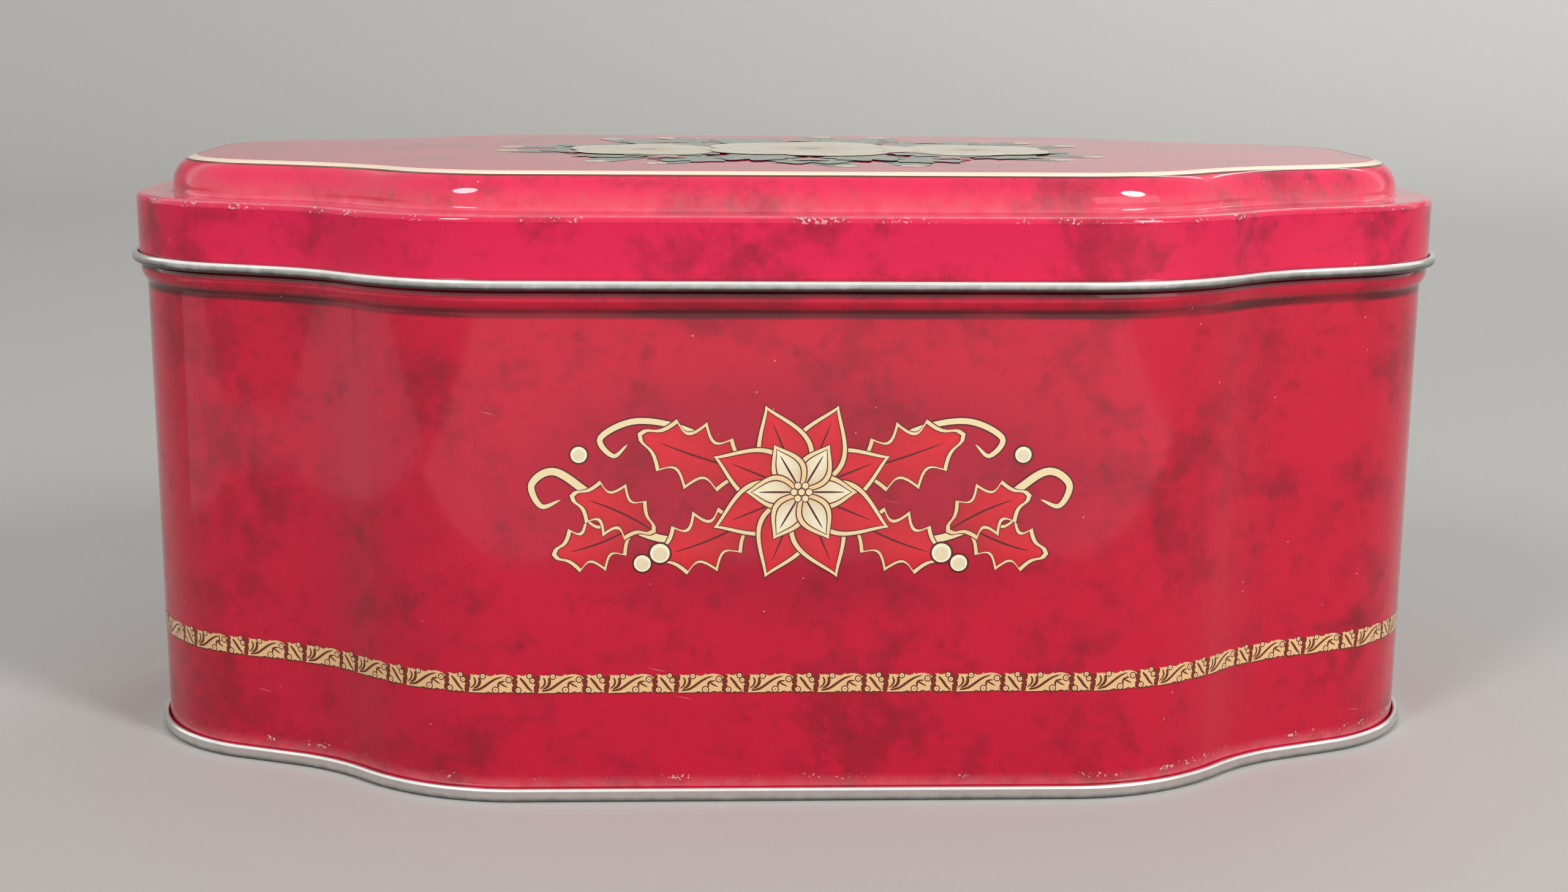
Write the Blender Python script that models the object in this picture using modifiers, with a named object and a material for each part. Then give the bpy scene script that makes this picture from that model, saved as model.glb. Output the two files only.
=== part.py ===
"""Printed tinplate box with a lift-off lid.

Three pieces of tinplate make it: a body wall bent from one strip and locked to itself at the back,
a base plate double-seamed round the foot of the wall, and a drawn lid that slips over its mouth.
Lengths are in metres, +Z is up, +X runs along the front, and the origin is on the floor under the
middle of the box.
"""

import math

import bmesh
import bpy
from mathutils import Vector

MM = 0.001

# Tinplate, and the room between two layers of it in a seam
SHEET = 0.24 * MM
LAP_GAP = 0.16 * MM

# Plan of the box at the outer face of the wall, one quarter from the front to the right side:
# straight front, rounded front bend, hollow waist, slanted stretch, rounded end corner
BODY_WIDTH = 215.0 * MM
BODY_DEPTH = 110.0 * MM
FRONT_BEND_RADIUS = 36.0 * MM
FRONT_BEND_ANGLE = math.radians(42.6)
WAIST_RADIUS = 39.0 * MM
SLANT_ANGLE = math.radians(20.5)
SLANT_LENGTH = 10.6 * MM
CORNER_RADIUS = 26.0 * MM
FRONT_BEND_STEPS = 4
WAIST_STEPS = 2
CORNER_STEPS = 5

# Body wall: rolled mouth, and the bead under the lid's hem
BODY_HEIGHT = 91.0 * MM
MOUTH_CURL_RADIUS = 0.8 * MM
MOUTH_CURL_ANGLE = math.radians(300)
MOUTH_CURL_STEPS = 9
BEAD_PROUD = 0.95 * MM
BEAD_HALF_HEIGHT = 2.6 * MM
BEAD_CREST_SHARE = 0.6
BEAD_CREST_STEPS = 3
BEAD_FOOT_STEPS = 2

# Lock seam down the back of the body: each end of the strip is folded into a hook, and the two
# hooks hold each other. The hooks are cut away at the seam's two ends, where the strip butts
LOCK_HALF_WIDTH = 1.5 * MM
LOCK_HOOK_SHORT = 0.5 * MM
LOCK_STEP_NEAR = 0.5 * MM
LOCK_STEP_FAR = 1.2 * MM
LOCK_BUTT_GAP = 0.3 * MM
LOCK_RUN_IN = 2.3 * MM
LOCK_END_MARGIN = 1.2 * MM
LOCK_STEPS = 4

# Double seam between the body wall and the base plate
SEAM_HEIGHT = 2.3 * MM
SEAM_CORNER_RADIUS = 0.45 * MM
SEAM_STEPS = 4
SEAM_CORNER_STEPS = 2

# Base plate: sunk panel with one pressed step
COUNTERSINK = 3.2 * MM
PANEL_EDGE_RADIUS = 0.9 * MM
PANEL_EDGE_STEPS = 3
PANEL_STEP_INSET = 9.0 * MM
PANEL_STEP_HEIGHT = 0.8 * MM
PANEL_STEP_ANGLE = math.radians(45)
PANEL_STEP_STEPS = 2

# Lid: its seat on the rolled mouth, skirt with an outward hem, ledge and raised panel
LID_SEAT_GAP = 0.3 * MM
LID_PLAY = 0.9 * MM
SKIRT_DEPTH = 11.2 * MM
HEM_WIDTH = 1.4 * MM
HEM_HEIGHT = 1.72 * MM
HEM_TIP_RADIUS = 0.4 * MM
HEM_STEPS = 4
HEM_TO_BEAD_CREST = 1.15 * MM
LEDGE_CORNER_RADIUS = 1.0 * MM
LEDGE_CORNER_STEPS = 3
LEDGE_WIDTH = 5.94 * MM
PANEL_RISE = 5.9 * MM
PANEL_FOOT_RADIUS = 0.9 * MM
PANEL_FOOT_STEPS = 2
SHOULDER_RADIUS = 4.6 * MM
SHOULDER_STEPS = 4

# Middle of each layer of sheet, as a distance out from the wall's outer face
HALF_SHEET = SHEET / 2
LAP_PITCH = SHEET + LAP_GAP
WALL_LAYER = -HALF_SHEET
CHUCK_LAYER = WALL_LAYER - LAP_PITCH
BASE_HOOK_LAYER = WALL_LAYER + LAP_PITCH
BODY_HOOK_LAYER = WALL_LAYER + 2 * LAP_PITCH
BASE_OUTER_LAYER = WALL_LAYER + 3 * LAP_PITCH
SKIRT_LAYER = LID_PLAY + HALF_SHEET

# Heights in the double seam, at the middle of the sheet
BODY_TURN_Z = HALF_SHEET + 2 * LAP_PITCH
BASE_TURN_Z = SEAM_HEIGHT - HALF_SHEET - LAP_PITCH
PANEL_Z = COUNTERSINK + HALF_SHEET

# The lid stands on its seat plane, which is the underside of its ledge
LID_SEAT_Z = BODY_HEIGHT + LID_SEAT_GAP
HEM_BOTTOM_Z = LID_SEAT_Z + SHEET - SKIRT_DEPTH
BEAD_CREST_Z = HEM_BOTTOM_Z - HEM_TO_BEAD_CREST

# Heights where the lock seam's hooks start and end, and where the strip has run in to meet them
LOCK_LOW_END = COUNTERSINK + SHEET + LOCK_END_MARGIN
LOCK_HIGH_END = BEAD_CREST_Z - BEAD_HALF_HEIGHT - LOCK_END_MARGIN
LOCK_ROWS = (LOCK_LOW_END + LOCK_RUN_IN, LOCK_HIGH_END - LOCK_RUN_IN)

SMOOTH_ANGLE = math.radians(32)


def arc(centre, radius, start, turn, steps):
    """Points of an arc in a section, from the angle start through turn, both in radians."""
    angles = [start + turn * i / steps for i in range(steps + 1)]
    return [
        (centre[0] + radius * math.cos(a), centre[1] + radius * math.sin(a))
        for a in angles
    ]


def quarter_plan():
    """Points of the quarter plan, each with its outward normal, from the front to the side."""
    stretches = (
        (FRONT_BEND_RADIUS, FRONT_BEND_ANGLE, FRONT_BEND_STEPS),
        (WAIST_RADIUS, SLANT_ANGLE - FRONT_BEND_ANGLE, WAIST_STEPS),
        (SLANT_LENGTH, 0, 1),
        (CORNER_RADIUS, math.pi / 2 - SLANT_ANGLE, CORNER_STEPS),
    )
    x = y = heading = 0.0
    plan = [(x, y, heading)]
    for length, turn, steps in stretches:
        for _ in range(steps):
            if turn:
                radius = math.copysign(length, turn)
                end = heading + turn / steps
                x += radius * (math.sin(end) - math.sin(heading))
                y += radius * (math.cos(heading) - math.cos(end))
                heading = end
            else:
                x += length * math.cos(heading)
                y += length * math.sin(heading)
            plan.append((x, y, heading))
    shift_x = BODY_WIDTH / 2 - plan[-1][0]
    shift_y = -BODY_DEPTH / 2
    return [
        (Vector((x + shift_x, y + shift_y, 0)), Vector((math.sin(h), -math.cos(h), 0)))
        for x, y, h in plan
    ]


def mirrored(plan, flip_x, flip_y):
    """The quarter plan in another quarter of the box, turned to run the same way round."""
    flip = Vector((flip_x, flip_y, 1))
    copy = [(point * flip, normal * flip) for point, normal in plan]
    return copy if flip_x == flip_y else copy[::-1]


def full_plan():
    """The whole plan, anticlockwise from the middle of the back."""
    quarter = quarter_plan()
    return (
        mirrored(quarter, -1, -1)
        + mirrored(quarter, -1, 1)
        + quarter
        + mirrored(quarter, 1, -1)
    )


def back_column(x):
    """A point on the straight back of the plan, at x."""
    return Vector((x, BODY_DEPTH / 2, 0)), Vector((0, 1, 0))


def strip_plan():
    """The plan of the body's strip, which starts and ends beside the middle of the back."""
    return (
        [back_column(-LOCK_BUTT_GAP / 2)]
        + full_plan()
        + [back_column(LOCK_HALF_WIDTH + LOCK_STEP_FAR)]
        + [back_column(LOCK_HALF_WIDTH + LOCK_STEP_NEAR)]
        + [back_column(LOCK_BUTT_GAP / 2)]
    )


def body_section():
    """Middle of the wall's sheet, from the tip of the foot's hook up to the tip of the mouth."""
    bead_angle = 2 * math.atan(BEAD_PROUD / BEAD_HALF_HEIGHT)
    bead_radii = BEAD_HALF_HEIGHT / math.sin(bead_angle)
    crest_radius = bead_radii * BEAD_CREST_SHARE
    foot_radius = bead_radii - crest_radius
    crest = (WALL_LAYER + BEAD_PROUD - crest_radius, BEAD_CREST_Z)
    low_foot = (WALL_LAYER + foot_radius, BEAD_CREST_Z - BEAD_HALF_HEIGHT)
    high_foot = (WALL_LAYER + foot_radius, BEAD_CREST_Z + BEAD_HALF_HEIGHT)
    curl = (WALL_LAYER - MOUTH_CURL_RADIUS, BODY_HEIGHT - HALF_SHEET - MOUTH_CURL_RADIUS)
    hook_turn = (BASE_HOOK_LAYER, BODY_TURN_Z)
    lock_heights = (LOCK_LOW_END, *LOCK_ROWS, LOCK_HIGH_END)
    return (
        [(BODY_HOOK_LAYER, BASE_TURN_Z)]
        + arc(hook_turn, LAP_PITCH, 0, -math.pi, SEAM_STEPS)
        + [(WALL_LAYER, z) for z in lock_heights]
        + arc(low_foot, foot_radius, math.pi, -bead_angle, BEAD_FOOT_STEPS)[:-1]
        + arc(crest, crest_radius, -bead_angle, 2 * bead_angle, BEAD_CREST_STEPS)
        + arc(high_foot, foot_radius, math.pi + bead_angle, -bead_angle, BEAD_FOOT_STEPS)[1:]
        + arc(curl, MOUTH_CURL_RADIUS, 0, MOUTH_CURL_ANGLE, MOUTH_CURL_STEPS)
    )


def base_section():
    """Middle of the base plate's sheet, from the tip of its hook to the edge of its flat panel."""
    low = HALF_SHEET + SEAM_CORNER_RADIUS
    hook_turn = (BODY_HOOK_LAYER, BASE_TURN_Z)
    outer_corner = (BASE_OUTER_LAYER - SEAM_CORNER_RADIUS, low)
    inner_corner = (CHUCK_LAYER + SEAM_CORNER_RADIUS, low)
    panel_edge = (CHUCK_LAYER - PANEL_EDGE_RADIUS, PANEL_Z - PANEL_EDGE_RADIUS)
    step_radius = PANEL_STEP_HEIGHT / (2 - 2 * math.cos(PANEL_STEP_ANGLE))
    step_width = 2 * step_radius * math.sin(PANEL_STEP_ANGLE)
    step_foot = (-PANEL_STEP_INSET, PANEL_Z + step_radius)
    step_head = (-PANEL_STEP_INSET - step_width, PANEL_Z + PANEL_STEP_HEIGHT - step_radius)
    right_angle = math.pi / 2
    return (
        [(BASE_HOOK_LAYER, BODY_TURN_Z)]
        + arc(hook_turn, LAP_PITCH, math.pi, -math.pi, SEAM_STEPS)
        + arc(outer_corner, SEAM_CORNER_RADIUS, 0, -right_angle, SEAM_CORNER_STEPS)
        + arc(inner_corner, SEAM_CORNER_RADIUS, -right_angle, -right_angle, SEAM_CORNER_STEPS)
        + arc(panel_edge, PANEL_EDGE_RADIUS, 0, right_angle, PANEL_EDGE_STEPS)
        + arc(step_foot, step_radius, -right_angle, -PANEL_STEP_ANGLE, PANEL_STEP_STEPS)
        + arc(
            step_head,
            step_radius,
            right_angle - PANEL_STEP_ANGLE,
            PANEL_STEP_ANGLE,
            PANEL_STEP_STEPS,
        )[1:]
    )


def lid_section():
    """Middle of the lid's sheet above its seat plane, from the hem's tip to the flat panel."""
    hem_outer_layer = LID_PLAY + HEM_WIDTH - HALF_SHEET
    hem_turn_radius = (hem_outer_layer - SKIRT_LAYER) / 2
    hem_low = SHEET - SKIRT_DEPTH + HALF_SHEET + hem_turn_radius
    hem_high = SHEET - SKIRT_DEPTH + HEM_HEIGHT - HALF_SHEET - HEM_TIP_RADIUS
    ledge_radius = LEDGE_CORNER_RADIUS - HALF_SHEET
    foot_radius = PANEL_FOOT_RADIUS + HALF_SHEET
    shoulder_radius = SHOULDER_RADIUS - HALF_SHEET
    foot_layer = SKIRT_LAYER - LEDGE_WIDTH
    panel_top = HALF_SHEET + PANEL_RISE
    hem_tip = (hem_outer_layer - HEM_TIP_RADIUS, hem_high)
    hem_turn = (SKIRT_LAYER + hem_turn_radius, hem_low)
    ledge_corner = (SKIRT_LAYER - ledge_radius, HALF_SHEET - ledge_radius)
    panel_foot = (foot_layer + foot_radius, HALF_SHEET + foot_radius)
    shoulder = (foot_layer - shoulder_radius, panel_top - shoulder_radius)
    right_angle = math.pi / 2
    return (
        arc(hem_tip, HEM_TIP_RADIUS, math.pi, -math.pi, HEM_STEPS)
        + arc(hem_turn, hem_turn_radius, 0, -math.pi, HEM_STEPS)
        + arc(ledge_corner, ledge_radius, 0, right_angle, LEDGE_CORNER_STEPS)
        + arc(panel_foot, foot_radius, -right_angle, -right_angle, PANEL_FOOT_STEPS)
        + arc(shoulder, shoulder_radius, 0, right_angle, SHOULDER_STEPS)
    )


def place(column, station):
    """Where a station of the section lies on one column of the plan."""
    point, normal = column
    offset, height = station
    return point + normal * offset + Vector((0, 0, height))


def extruded(bm, edges):
    """Extrudes a run of edges in place, and returns the new vertices and the new run."""
    made = bmesh.ops.extrude_edge_only(bm, edges=edges)["geom"]
    vertices = {g for g in made if isinstance(g, bmesh.types.BMVert)}
    run = [
        g
        for g in made
        if isinstance(g, bmesh.types.BMEdge) and set(g.verts) <= vertices
    ]
    return vertices, run


def swept_sheet(columns, section, closed):
    """The section carried round the plan as one open sheet. Returns the mesh and its last run."""
    bm = bmesh.new()
    column_of = bm.verts.layers.int.new("column")
    row_of = bm.verts.layers.int.new("row")
    ring = [bm.verts.new(place(column, section[0])) for column in columns]
    for number, vertex in enumerate(ring):
        vertex[column_of] = number
    followers = ring[1:] + ring[:1] if closed else ring[1:]
    run = [bm.edges.new(pair) for pair in zip(ring, followers)]
    for row, station in enumerate(section[1:], start=1):
        vertices, run = extruded(bm, run)
        for vertex in vertices:
            vertex.co = place(columns[vertex[column_of]], station)
            vertex[row_of] = row
    return bm, run


def column_edge(bm, column, rows):
    """The upright edge of the sheet on one column, between two rows."""
    column_of = bm.verts.layers.int["column"]
    row_of = bm.verts.layers.int["row"]
    return [
        edge
        for edge in bm.edges
        if all(v[column_of] == column for v in edge.verts)
        and {v[row_of] for v in edge.verts} == set(rows)
    ]


def fold_hook(bm, edge, tip_x, level, inward, return_length):
    """Carries an upright edge along the back to tip_x, round a turn and back as a hook."""
    side = 1 if tip_x > 0 else -1
    back_y = BODY_DEPTH / 2 + WALL_LAYER
    turn_centre = (tip_x, -(level + inward) * LAP_PITCH)
    turn = arc(turn_centre, LAP_PITCH, inward * math.pi / 2, -inward * math.pi, LOCK_STEPS)
    route = [(tip_x + side * (x - tip_x), depth) for x, depth in turn]
    route.append((tip_x - side * return_length, -(level + 2 * inward) * LAP_PITCH))
    run = edge
    for x, depth in route:
        vertices, run = extruded(bm, run)
        for vertex in vertices:
            vertex.co.x = x
            vertex.co.y = back_y + depth


def make_body_mesh():
    """The body's strip, with its lock seam at the back."""
    columns = strip_plan()
    section = body_section()
    bm, _ = swept_sheet(columns, section, closed=False)
    column_of = bm.verts.layers.int["column"]
    row_of = bm.verts.layers.int["row"]
    first_row = section.index((WALL_LAYER, LOCK_ROWS[0]))
    rows = (first_row, first_row + 1)
    last = len(columns) - 1
    under_layers = 3
    for vertex in bm.verts:
        if vertex[row_of] in rows and vertex[column_of] in (last - 1, last):
            vertex.co.y -= under_layers * LAP_PITCH
    return_length = 2 * LOCK_HALF_WIDTH - LOCK_HOOK_SHORT
    first_edge = column_edge(bm, 0, rows)
    last_edge = column_edge(bm, last, rows)
    fold_hook(bm, first_edge, LOCK_HALF_WIDTH, 0, 1, return_length)
    fold_hook(bm, last_edge, -LOCK_HALF_WIDTH, under_layers, -1, return_length)
    return bm


def make_closed_mesh(section):
    """A sheet that runs right round the plan and is closed by a flat panel."""
    bm, run = swept_sheet(full_plan(), section, closed=True)
    bmesh.ops.edgeloop_fill(bm, edges=run)
    return bm


def add_sheet(name, bm, material, collection, parent, seat_z):
    """Makes an object of an open sheet and gives it the tinplate's thickness."""
    bmesh.ops.recalc_face_normals(bm, faces=bm.faces)
    mesh = bpy.data.meshes.new(name)
    bm.to_mesh(mesh)
    bm.free()
    mesh.shade_smooth()
    mesh.set_sharp_from_angle(angle=SMOOTH_ANGLE)
    mesh.materials.append(material)
    sheet = bpy.data.objects.new(name, mesh)
    collection.objects.link(sheet)
    sheet.parent = parent
    sheet.location.z = seat_z
    thickness = sheet.modifiers.new("tinplate", "SOLIDIFY")
    thickness.thickness = SHEET
    thickness.offset = 0
    thickness.use_even_offset = True
    return sheet


def make_material(name, colour, roughness, metallic):
    """A plain material of one colour."""
    material = bpy.data.materials.new(name)
    material.use_nodes = True
    shader = material.node_tree.nodes["Principled BSDF"]
    shader.inputs["Base Color"].default_value = (*colour, 1)
    shader.inputs["Roughness"].default_value = roughness
    shader.inputs["Metallic"].default_value = metallic
    return material


def main():
    """Clears the scene and makes the three pieces of tinplate."""
    for old in list(bpy.data.objects):
        bpy.data.objects.remove(old)
    collection = bpy.data.collections.new("tin_container")
    bpy.context.scene.collection.children.link(collection)
    origin = bpy.data.objects.new("tin_origin", None)
    collection.objects.link(origin)

    body_print = make_material("body_print", (0.52, 0.03, 0.06), 0.22, 0)
    lid_print = make_material("lid_print", (0.60, 0.04, 0.08), 0.20, 0)
    bare_tinplate = make_material("bare_tinplate", (0.62, 0.60, 0.58), 0.30, 1)

    add_sheet("body_wall", make_body_mesh(), body_print, collection, origin, 0)
    base_mesh = make_closed_mesh(base_section())
    add_sheet("base_plate", base_mesh, bare_tinplate, collection, origin, 0)
    lid_mesh = make_closed_mesh(lid_section())
    add_sheet("lid", lid_mesh, lid_print, collection, origin, LID_SEAT_Z)


main()
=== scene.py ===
"""Looks of a printed tinplate box with a slip-on lid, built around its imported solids.

The pressings are made again as fine sheets that stand for the solids: a printed wall with its
lock seam, a bare base with its double seam, and a printed lid with a bare hem. The print on them
is laid on as thin films of ink: a band of holly round the foot, a sprig on the front, a gold line
and a bunch of winter flowers on the lid. Lengths are in metres, +Z is up, the front faces -Y.
"""

import math
from bisect import bisect
from functools import partial

import bmesh
import bpy
from bpy.props import FloatProperty, FloatVectorProperty, PointerProperty
from mathutils import Matrix, Vector
from mathutils.geometry import interpolate_bezier


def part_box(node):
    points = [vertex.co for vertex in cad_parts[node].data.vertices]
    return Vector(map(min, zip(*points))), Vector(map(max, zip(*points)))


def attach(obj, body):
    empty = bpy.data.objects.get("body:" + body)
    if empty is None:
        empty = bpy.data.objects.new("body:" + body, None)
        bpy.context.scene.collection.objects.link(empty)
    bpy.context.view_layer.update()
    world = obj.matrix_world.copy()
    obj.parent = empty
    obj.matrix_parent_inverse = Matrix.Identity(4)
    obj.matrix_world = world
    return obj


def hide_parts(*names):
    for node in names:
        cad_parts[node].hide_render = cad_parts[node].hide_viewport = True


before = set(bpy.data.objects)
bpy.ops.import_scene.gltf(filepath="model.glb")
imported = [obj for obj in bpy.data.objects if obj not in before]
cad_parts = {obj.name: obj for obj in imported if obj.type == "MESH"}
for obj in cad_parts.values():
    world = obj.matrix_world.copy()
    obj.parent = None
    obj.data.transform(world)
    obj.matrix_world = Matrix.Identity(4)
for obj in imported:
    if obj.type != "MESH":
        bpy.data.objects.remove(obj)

bl_info = {
    "name": "Printed tinplate box",
    "version": (1, 0, 0),
    "blender": (4, 5, 0),
    "location": "3D View > Sidebar > Tin",
    "description": "Makes the wall, base, lid and print of a tinplate box around its solids",
    "category": "Object",
}

MM = 0.001
RIGHT_ANGLE = math.pi / 2
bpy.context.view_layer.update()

BODY = "tin_body"
LID = "tin_lid"
WALL_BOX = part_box("body_wall")
BASE_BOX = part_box("base_plate")
LID_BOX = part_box("lid")
MOUTH_Z = WALL_BOX[1].z
LID_TOP_Z = LID_BOX[1].z
HEM_BOTTOM_Z = LID_BOX[0].z

# Tinplate, and the pitch of its layers in the seams
SHEET = 0.24 * MM
HALF_SHEET = SHEET / 2
LAP_PITCH = 0.40 * MM

# Middle of each layer of sheet, as a distance out from the wall's outer face
WALL_LAYER = -HALF_SHEET
CHUCK_LAYER = WALL_LAYER - LAP_PITCH
BASE_HOOK_LAYER = WALL_LAYER + LAP_PITCH
BODY_HOOK_LAYER = WALL_LAYER + 2 * LAP_PITCH
BASE_OUTER_LAYER = WALL_LAYER + 3 * LAP_PITCH
SEAM_REACH = BASE_OUTER_LAYER + HALF_SHEET

# How finely bends are cut, in the plan and in the sheet's section
PLAN_STEP = math.radians(1.5)
SECTION_STEP = math.radians(9)
FLAT_MARGIN = 0.25 * MM
MIN_FLAT = 2 * MM
MERGE_DISTANCE = 0.004 * MM
SMOOTH_ANGLE = math.radians(40)

# Films of ink: how thick, how far over the metal, and how far each is over the one before
INK_THICKNESS = 0.010 * MM
INK_LIFT = 0.012 * MM
INK_STEP = 0.001 * MM

# How finely smooth paths are cut, how far along a stroke its run is felt, and the longest
# edge that counts towards the hollow of a plate
PATH_POINTS = 9
STROKE_FEEL = 0.01
HOLLOW_REACH = 0.7 * MM


def linear(hex_code):
    """The linear colour of an sRGB hex code."""
    values = [int(hex_code[i : i + 2], 16) / 255 for i in (0, 2, 4)]
    return [v / 12.92 if v <= 0.04045 else ((v + 0.055) / 1.055) ** 2.4 for v in values] + [1]


def length(name, default, description):
    """A length that a user can change."""
    return FloatProperty(
        name=name, description=description, default=default, unit="LENGTH", precision=5
    )


def angle(name, degrees, description):
    """An angle that a user can change."""
    return FloatProperty(
        name=name, description=description, default=math.radians(degrees), unit="ROTATION"
    )


def colour(name, hex_code, description):
    """A colour that a user can change."""
    return FloatVectorProperty(
        name=name,
        description=description,
        default=linear(hex_code),
        subtype="COLOR",
        size=4,
        min=0,
        max=1,
    )


class TinShape(bpy.types.PropertyGroup):
    """Sizes of the pressings. The overall ones come from the solids"""

    width: length(
        "Width", BASE_BOX[1].x - BASE_BOX[0].x - 2 * SEAM_REACH, "Over the wall, left to right"
    )
    depth: length(
        "Depth", BASE_BOX[1].y - BASE_BOX[0].y - 2 * SEAM_REACH, "Over the wall, front to back"
    )
    front_bend_radius: length("Front bend radius", 36 * MM, "Bend from the front to the waist")
    front_bend_angle: angle("Front bend angle", 42.6, "Turn of the bend from the front")
    waist_radius: length("Waist radius", 39 * MM, "Hollow bend at the waist")
    slant_angle: angle("Slant angle", 20.5, "Slant of the stretch past the waist")
    slant_length: length("Slant length", 10.6 * MM, "Straight stretch past the waist")
    corner_radius: length("Corner radius", 26 * MM, "Rounded corner of the end")
    bead_proud: length("Bead height", 0.95 * MM, "How far the stop bead stands out")
    bead_half_height: length("Bead half height", 2.6 * MM, "Half the height of the stop bead")
    mouth_curl_radius: length("Mouth curl radius", 0.8 * MM, "Middle of the mouth's rolled sheet")
    lock_half_width: length("Lock seam half width", 1.5 * MM, "Between the two folds of the seam")
    seam_height: length("Seam height", 2.3 * MM, "Height of the base's double seam")
    countersink: length("Countersink", 3.2 * MM, "Height of the base panel over the floor")
    lid_play: length("Lid play", 0.9 * MM, "Room between the wall and the lid's skirt")
    hem_width: length("Hem width", 1.4 * MM, "How far the lid's rolled hem stands out")
    hem_height: length("Hem height", 1.72 * MM, "Height of the lid's rolled hem")
    ledge_width: length("Ledge width", 5.94 * MM, "Flat ledge round the raised panel")
    panel_rise: length("Panel rise", 5.9 * MM, "Height of the raised panel over the ledge")
    shoulder_radius: length("Shoulder radius", 4.6 * MM, "Round edge of the raised panel")


class TinPrint(bpy.types.PropertyGroup):
    """Sizes and places of the print"""

    band_bottom: length("Band foot", 17.6 * MM, "Height of the holly band's lower edge")
    band_pitch: length("Band pitch", 10.82 * MM, "From one wide holly plate to the next")
    band_start: length("Band start", -7.6 * MM, "A wide plate's left edge, right of mid front")
    line_width: length("Gold line width", 1.55 * MM, "Width of the lid's gold line")
    line_angle: angle("Gold line angle", 17, "How far down the shoulder the gold line lies")
    sprig_x: length("Sprig place", 0.5 * MM, "Middle of the sprig, right of mid front")
    sprig_z: length("Sprig height", 49.5 * MM, "Middle of the sprig over the floor")
    bunch_x: length("Bunch place", 3.0 * MM, "Middle of the lid's flowers, right of mid lid")
    bunch_y: length("Bunch depth", 3.0 * MM, "Middle of the lid's flowers, behind mid lid")


class TinColours(bpy.types.PropertyGroup):
    """Inks and metal, as they look in plain light"""

    red: colour("Red", "CC0433", "Ground of the marbled print on the wall")
    lid_red: colour("Lid red", "E01049", "Ground of the marbled print on the lid")
    red_deep: colour("Deep red", "8A0A20", "Clouds in the marbled print")
    red_dark: colour("Dark red", "5C0814", "Blots in the marbled print")
    gold: colour("Gold ink", "F2C48E", "Holly band")
    gold_pale: colour("Pale gold ink", "F6DFAE", "Lines and outlines")
    line: colour("Cream gold ink", "FBE6CC", "Line round the lid")
    berry: colour("Berry", "E08A78", "Berries in the band")
    brown: colour("Brown ink", "6C2A0E", "Veins and shadows in the band")
    gap: colour("Red brown ink", "82281A", "Ground between the plates of the band")
    scarlet: colour("Scarlet ink", "E22230", "Leaves of the front sprig")
    crimson: colour("Crimson ink", "9C0C20", "Shade on the front sprig's leaves")
    cream: colour("Cream ink", "FBF3D2", "Petals and highlights")
    petal_shade: colour("Petal shade", "CDA26C", "Folds of the petals")
    green: colour("Green ink", "2F6B3C", "Leaves on the lid")
    green_dark: colour("Dark green ink", "14301E", "Shade between the leaves")
    dust: colour("Dust", "E9B9BC", "Specks of dust and rubbed spots")
    tinplate: colour("Tinplate", "E2E0DC", "Bare metal")
    # Painted shade, laid on the undersides of the bare metal
    underside_shade: colour("Tarnish", "3F3A38", "Dirt and tarnish on the undersides of bare metal")
    floor: colour("Floor", "BAB9B6", "Floor and backdrop")
    floor_edge: colour("Floor edge", "F2F1EE", "Floor far from the box, towards the pale room")
    floor_bounce: colour("Floor bounce", "64625F", "How much light the floor throws back up")


def mm(points):
    """Points of a drawing that are written in millimetres, in metres."""
    return [Vector((x * MM, y * MM)) for x, y in points]


def toward(direction):
    """The way that a direction points in a drawing."""
    return Vector((math.cos(direction), math.sin(direction)))


def bend_centre(point, heading, radius, amount):
    """The centre that a bend of the plan turns about."""
    left = Vector((-math.sin(heading), math.cos(heading), 0))
    return point + left * math.copysign(radius, amount)


def advance(point, heading, radius, amount):
    """Where a stretch of the plan ends: a straight one has no radius, a hollow one turns back."""
    if not radius:
        return point + Vector((math.cos(heading), math.sin(heading), 0)) * amount, heading
    centre = bend_centre(point, heading, radius, amount)
    return centre + Matrix.Rotation(amount, 3, "Z") @ (point - centre), heading + amount


def quarter_route(shape):
    """Stretches of the plan from mid front or back to a mid end, each a radius and its amount."""
    bends = [
        (shape.front_bend_radius, shape.front_bend_angle),
        (shape.waist_radius, shape.slant_angle - shape.front_bend_angle),
        (0, shape.slant_length),
        (shape.corner_radius, RIGHT_ANGLE - shape.slant_angle),
    ]
    reach, heading = Vector(), 0.0
    for radius, amount in bends:
        reach, heading = advance(reach, heading, radius, amount)
    return [(0, shape.width / 2 - reach.x), *bends, (0, shape.depth / 2 - reach.y)]


def whole_route(shape):
    """Stretches of the plan all the way round, from mid front or back."""
    quarter = quarter_route(shape)
    return (quarter + quarter[::-1]) * 2


class Outline:
    """The wall's outer face in plan, walked from mid front to the right."""

    def __init__(self, shape):
        self.starts, self.states = [], []
        point, heading, walked = Vector((0, -shape.depth / 2, 0)), 0.0, 0.0
        for radius, amount in whole_route(shape):
            self.starts.append(walked)
            self.states.append((point, heading, radius, amount))
            walked += abs(radius * amount) if radius else amount
            point, heading = advance(point, heading, radius, amount)
        self.length = walked

    def at(self, distance):
        """The point there and the direction out of the wall."""
        distance %= self.length
        index = bisect(self.starts, distance) - 1
        point, heading, radius, amount = self.states[index]
        part = distance - self.starts[index]
        turn = math.copysign(part / radius, amount) if radius else part
        point, heading = advance(point, heading, radius, turn)
        return point, Vector((math.sin(heading), -math.cos(heading), 0))


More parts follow.
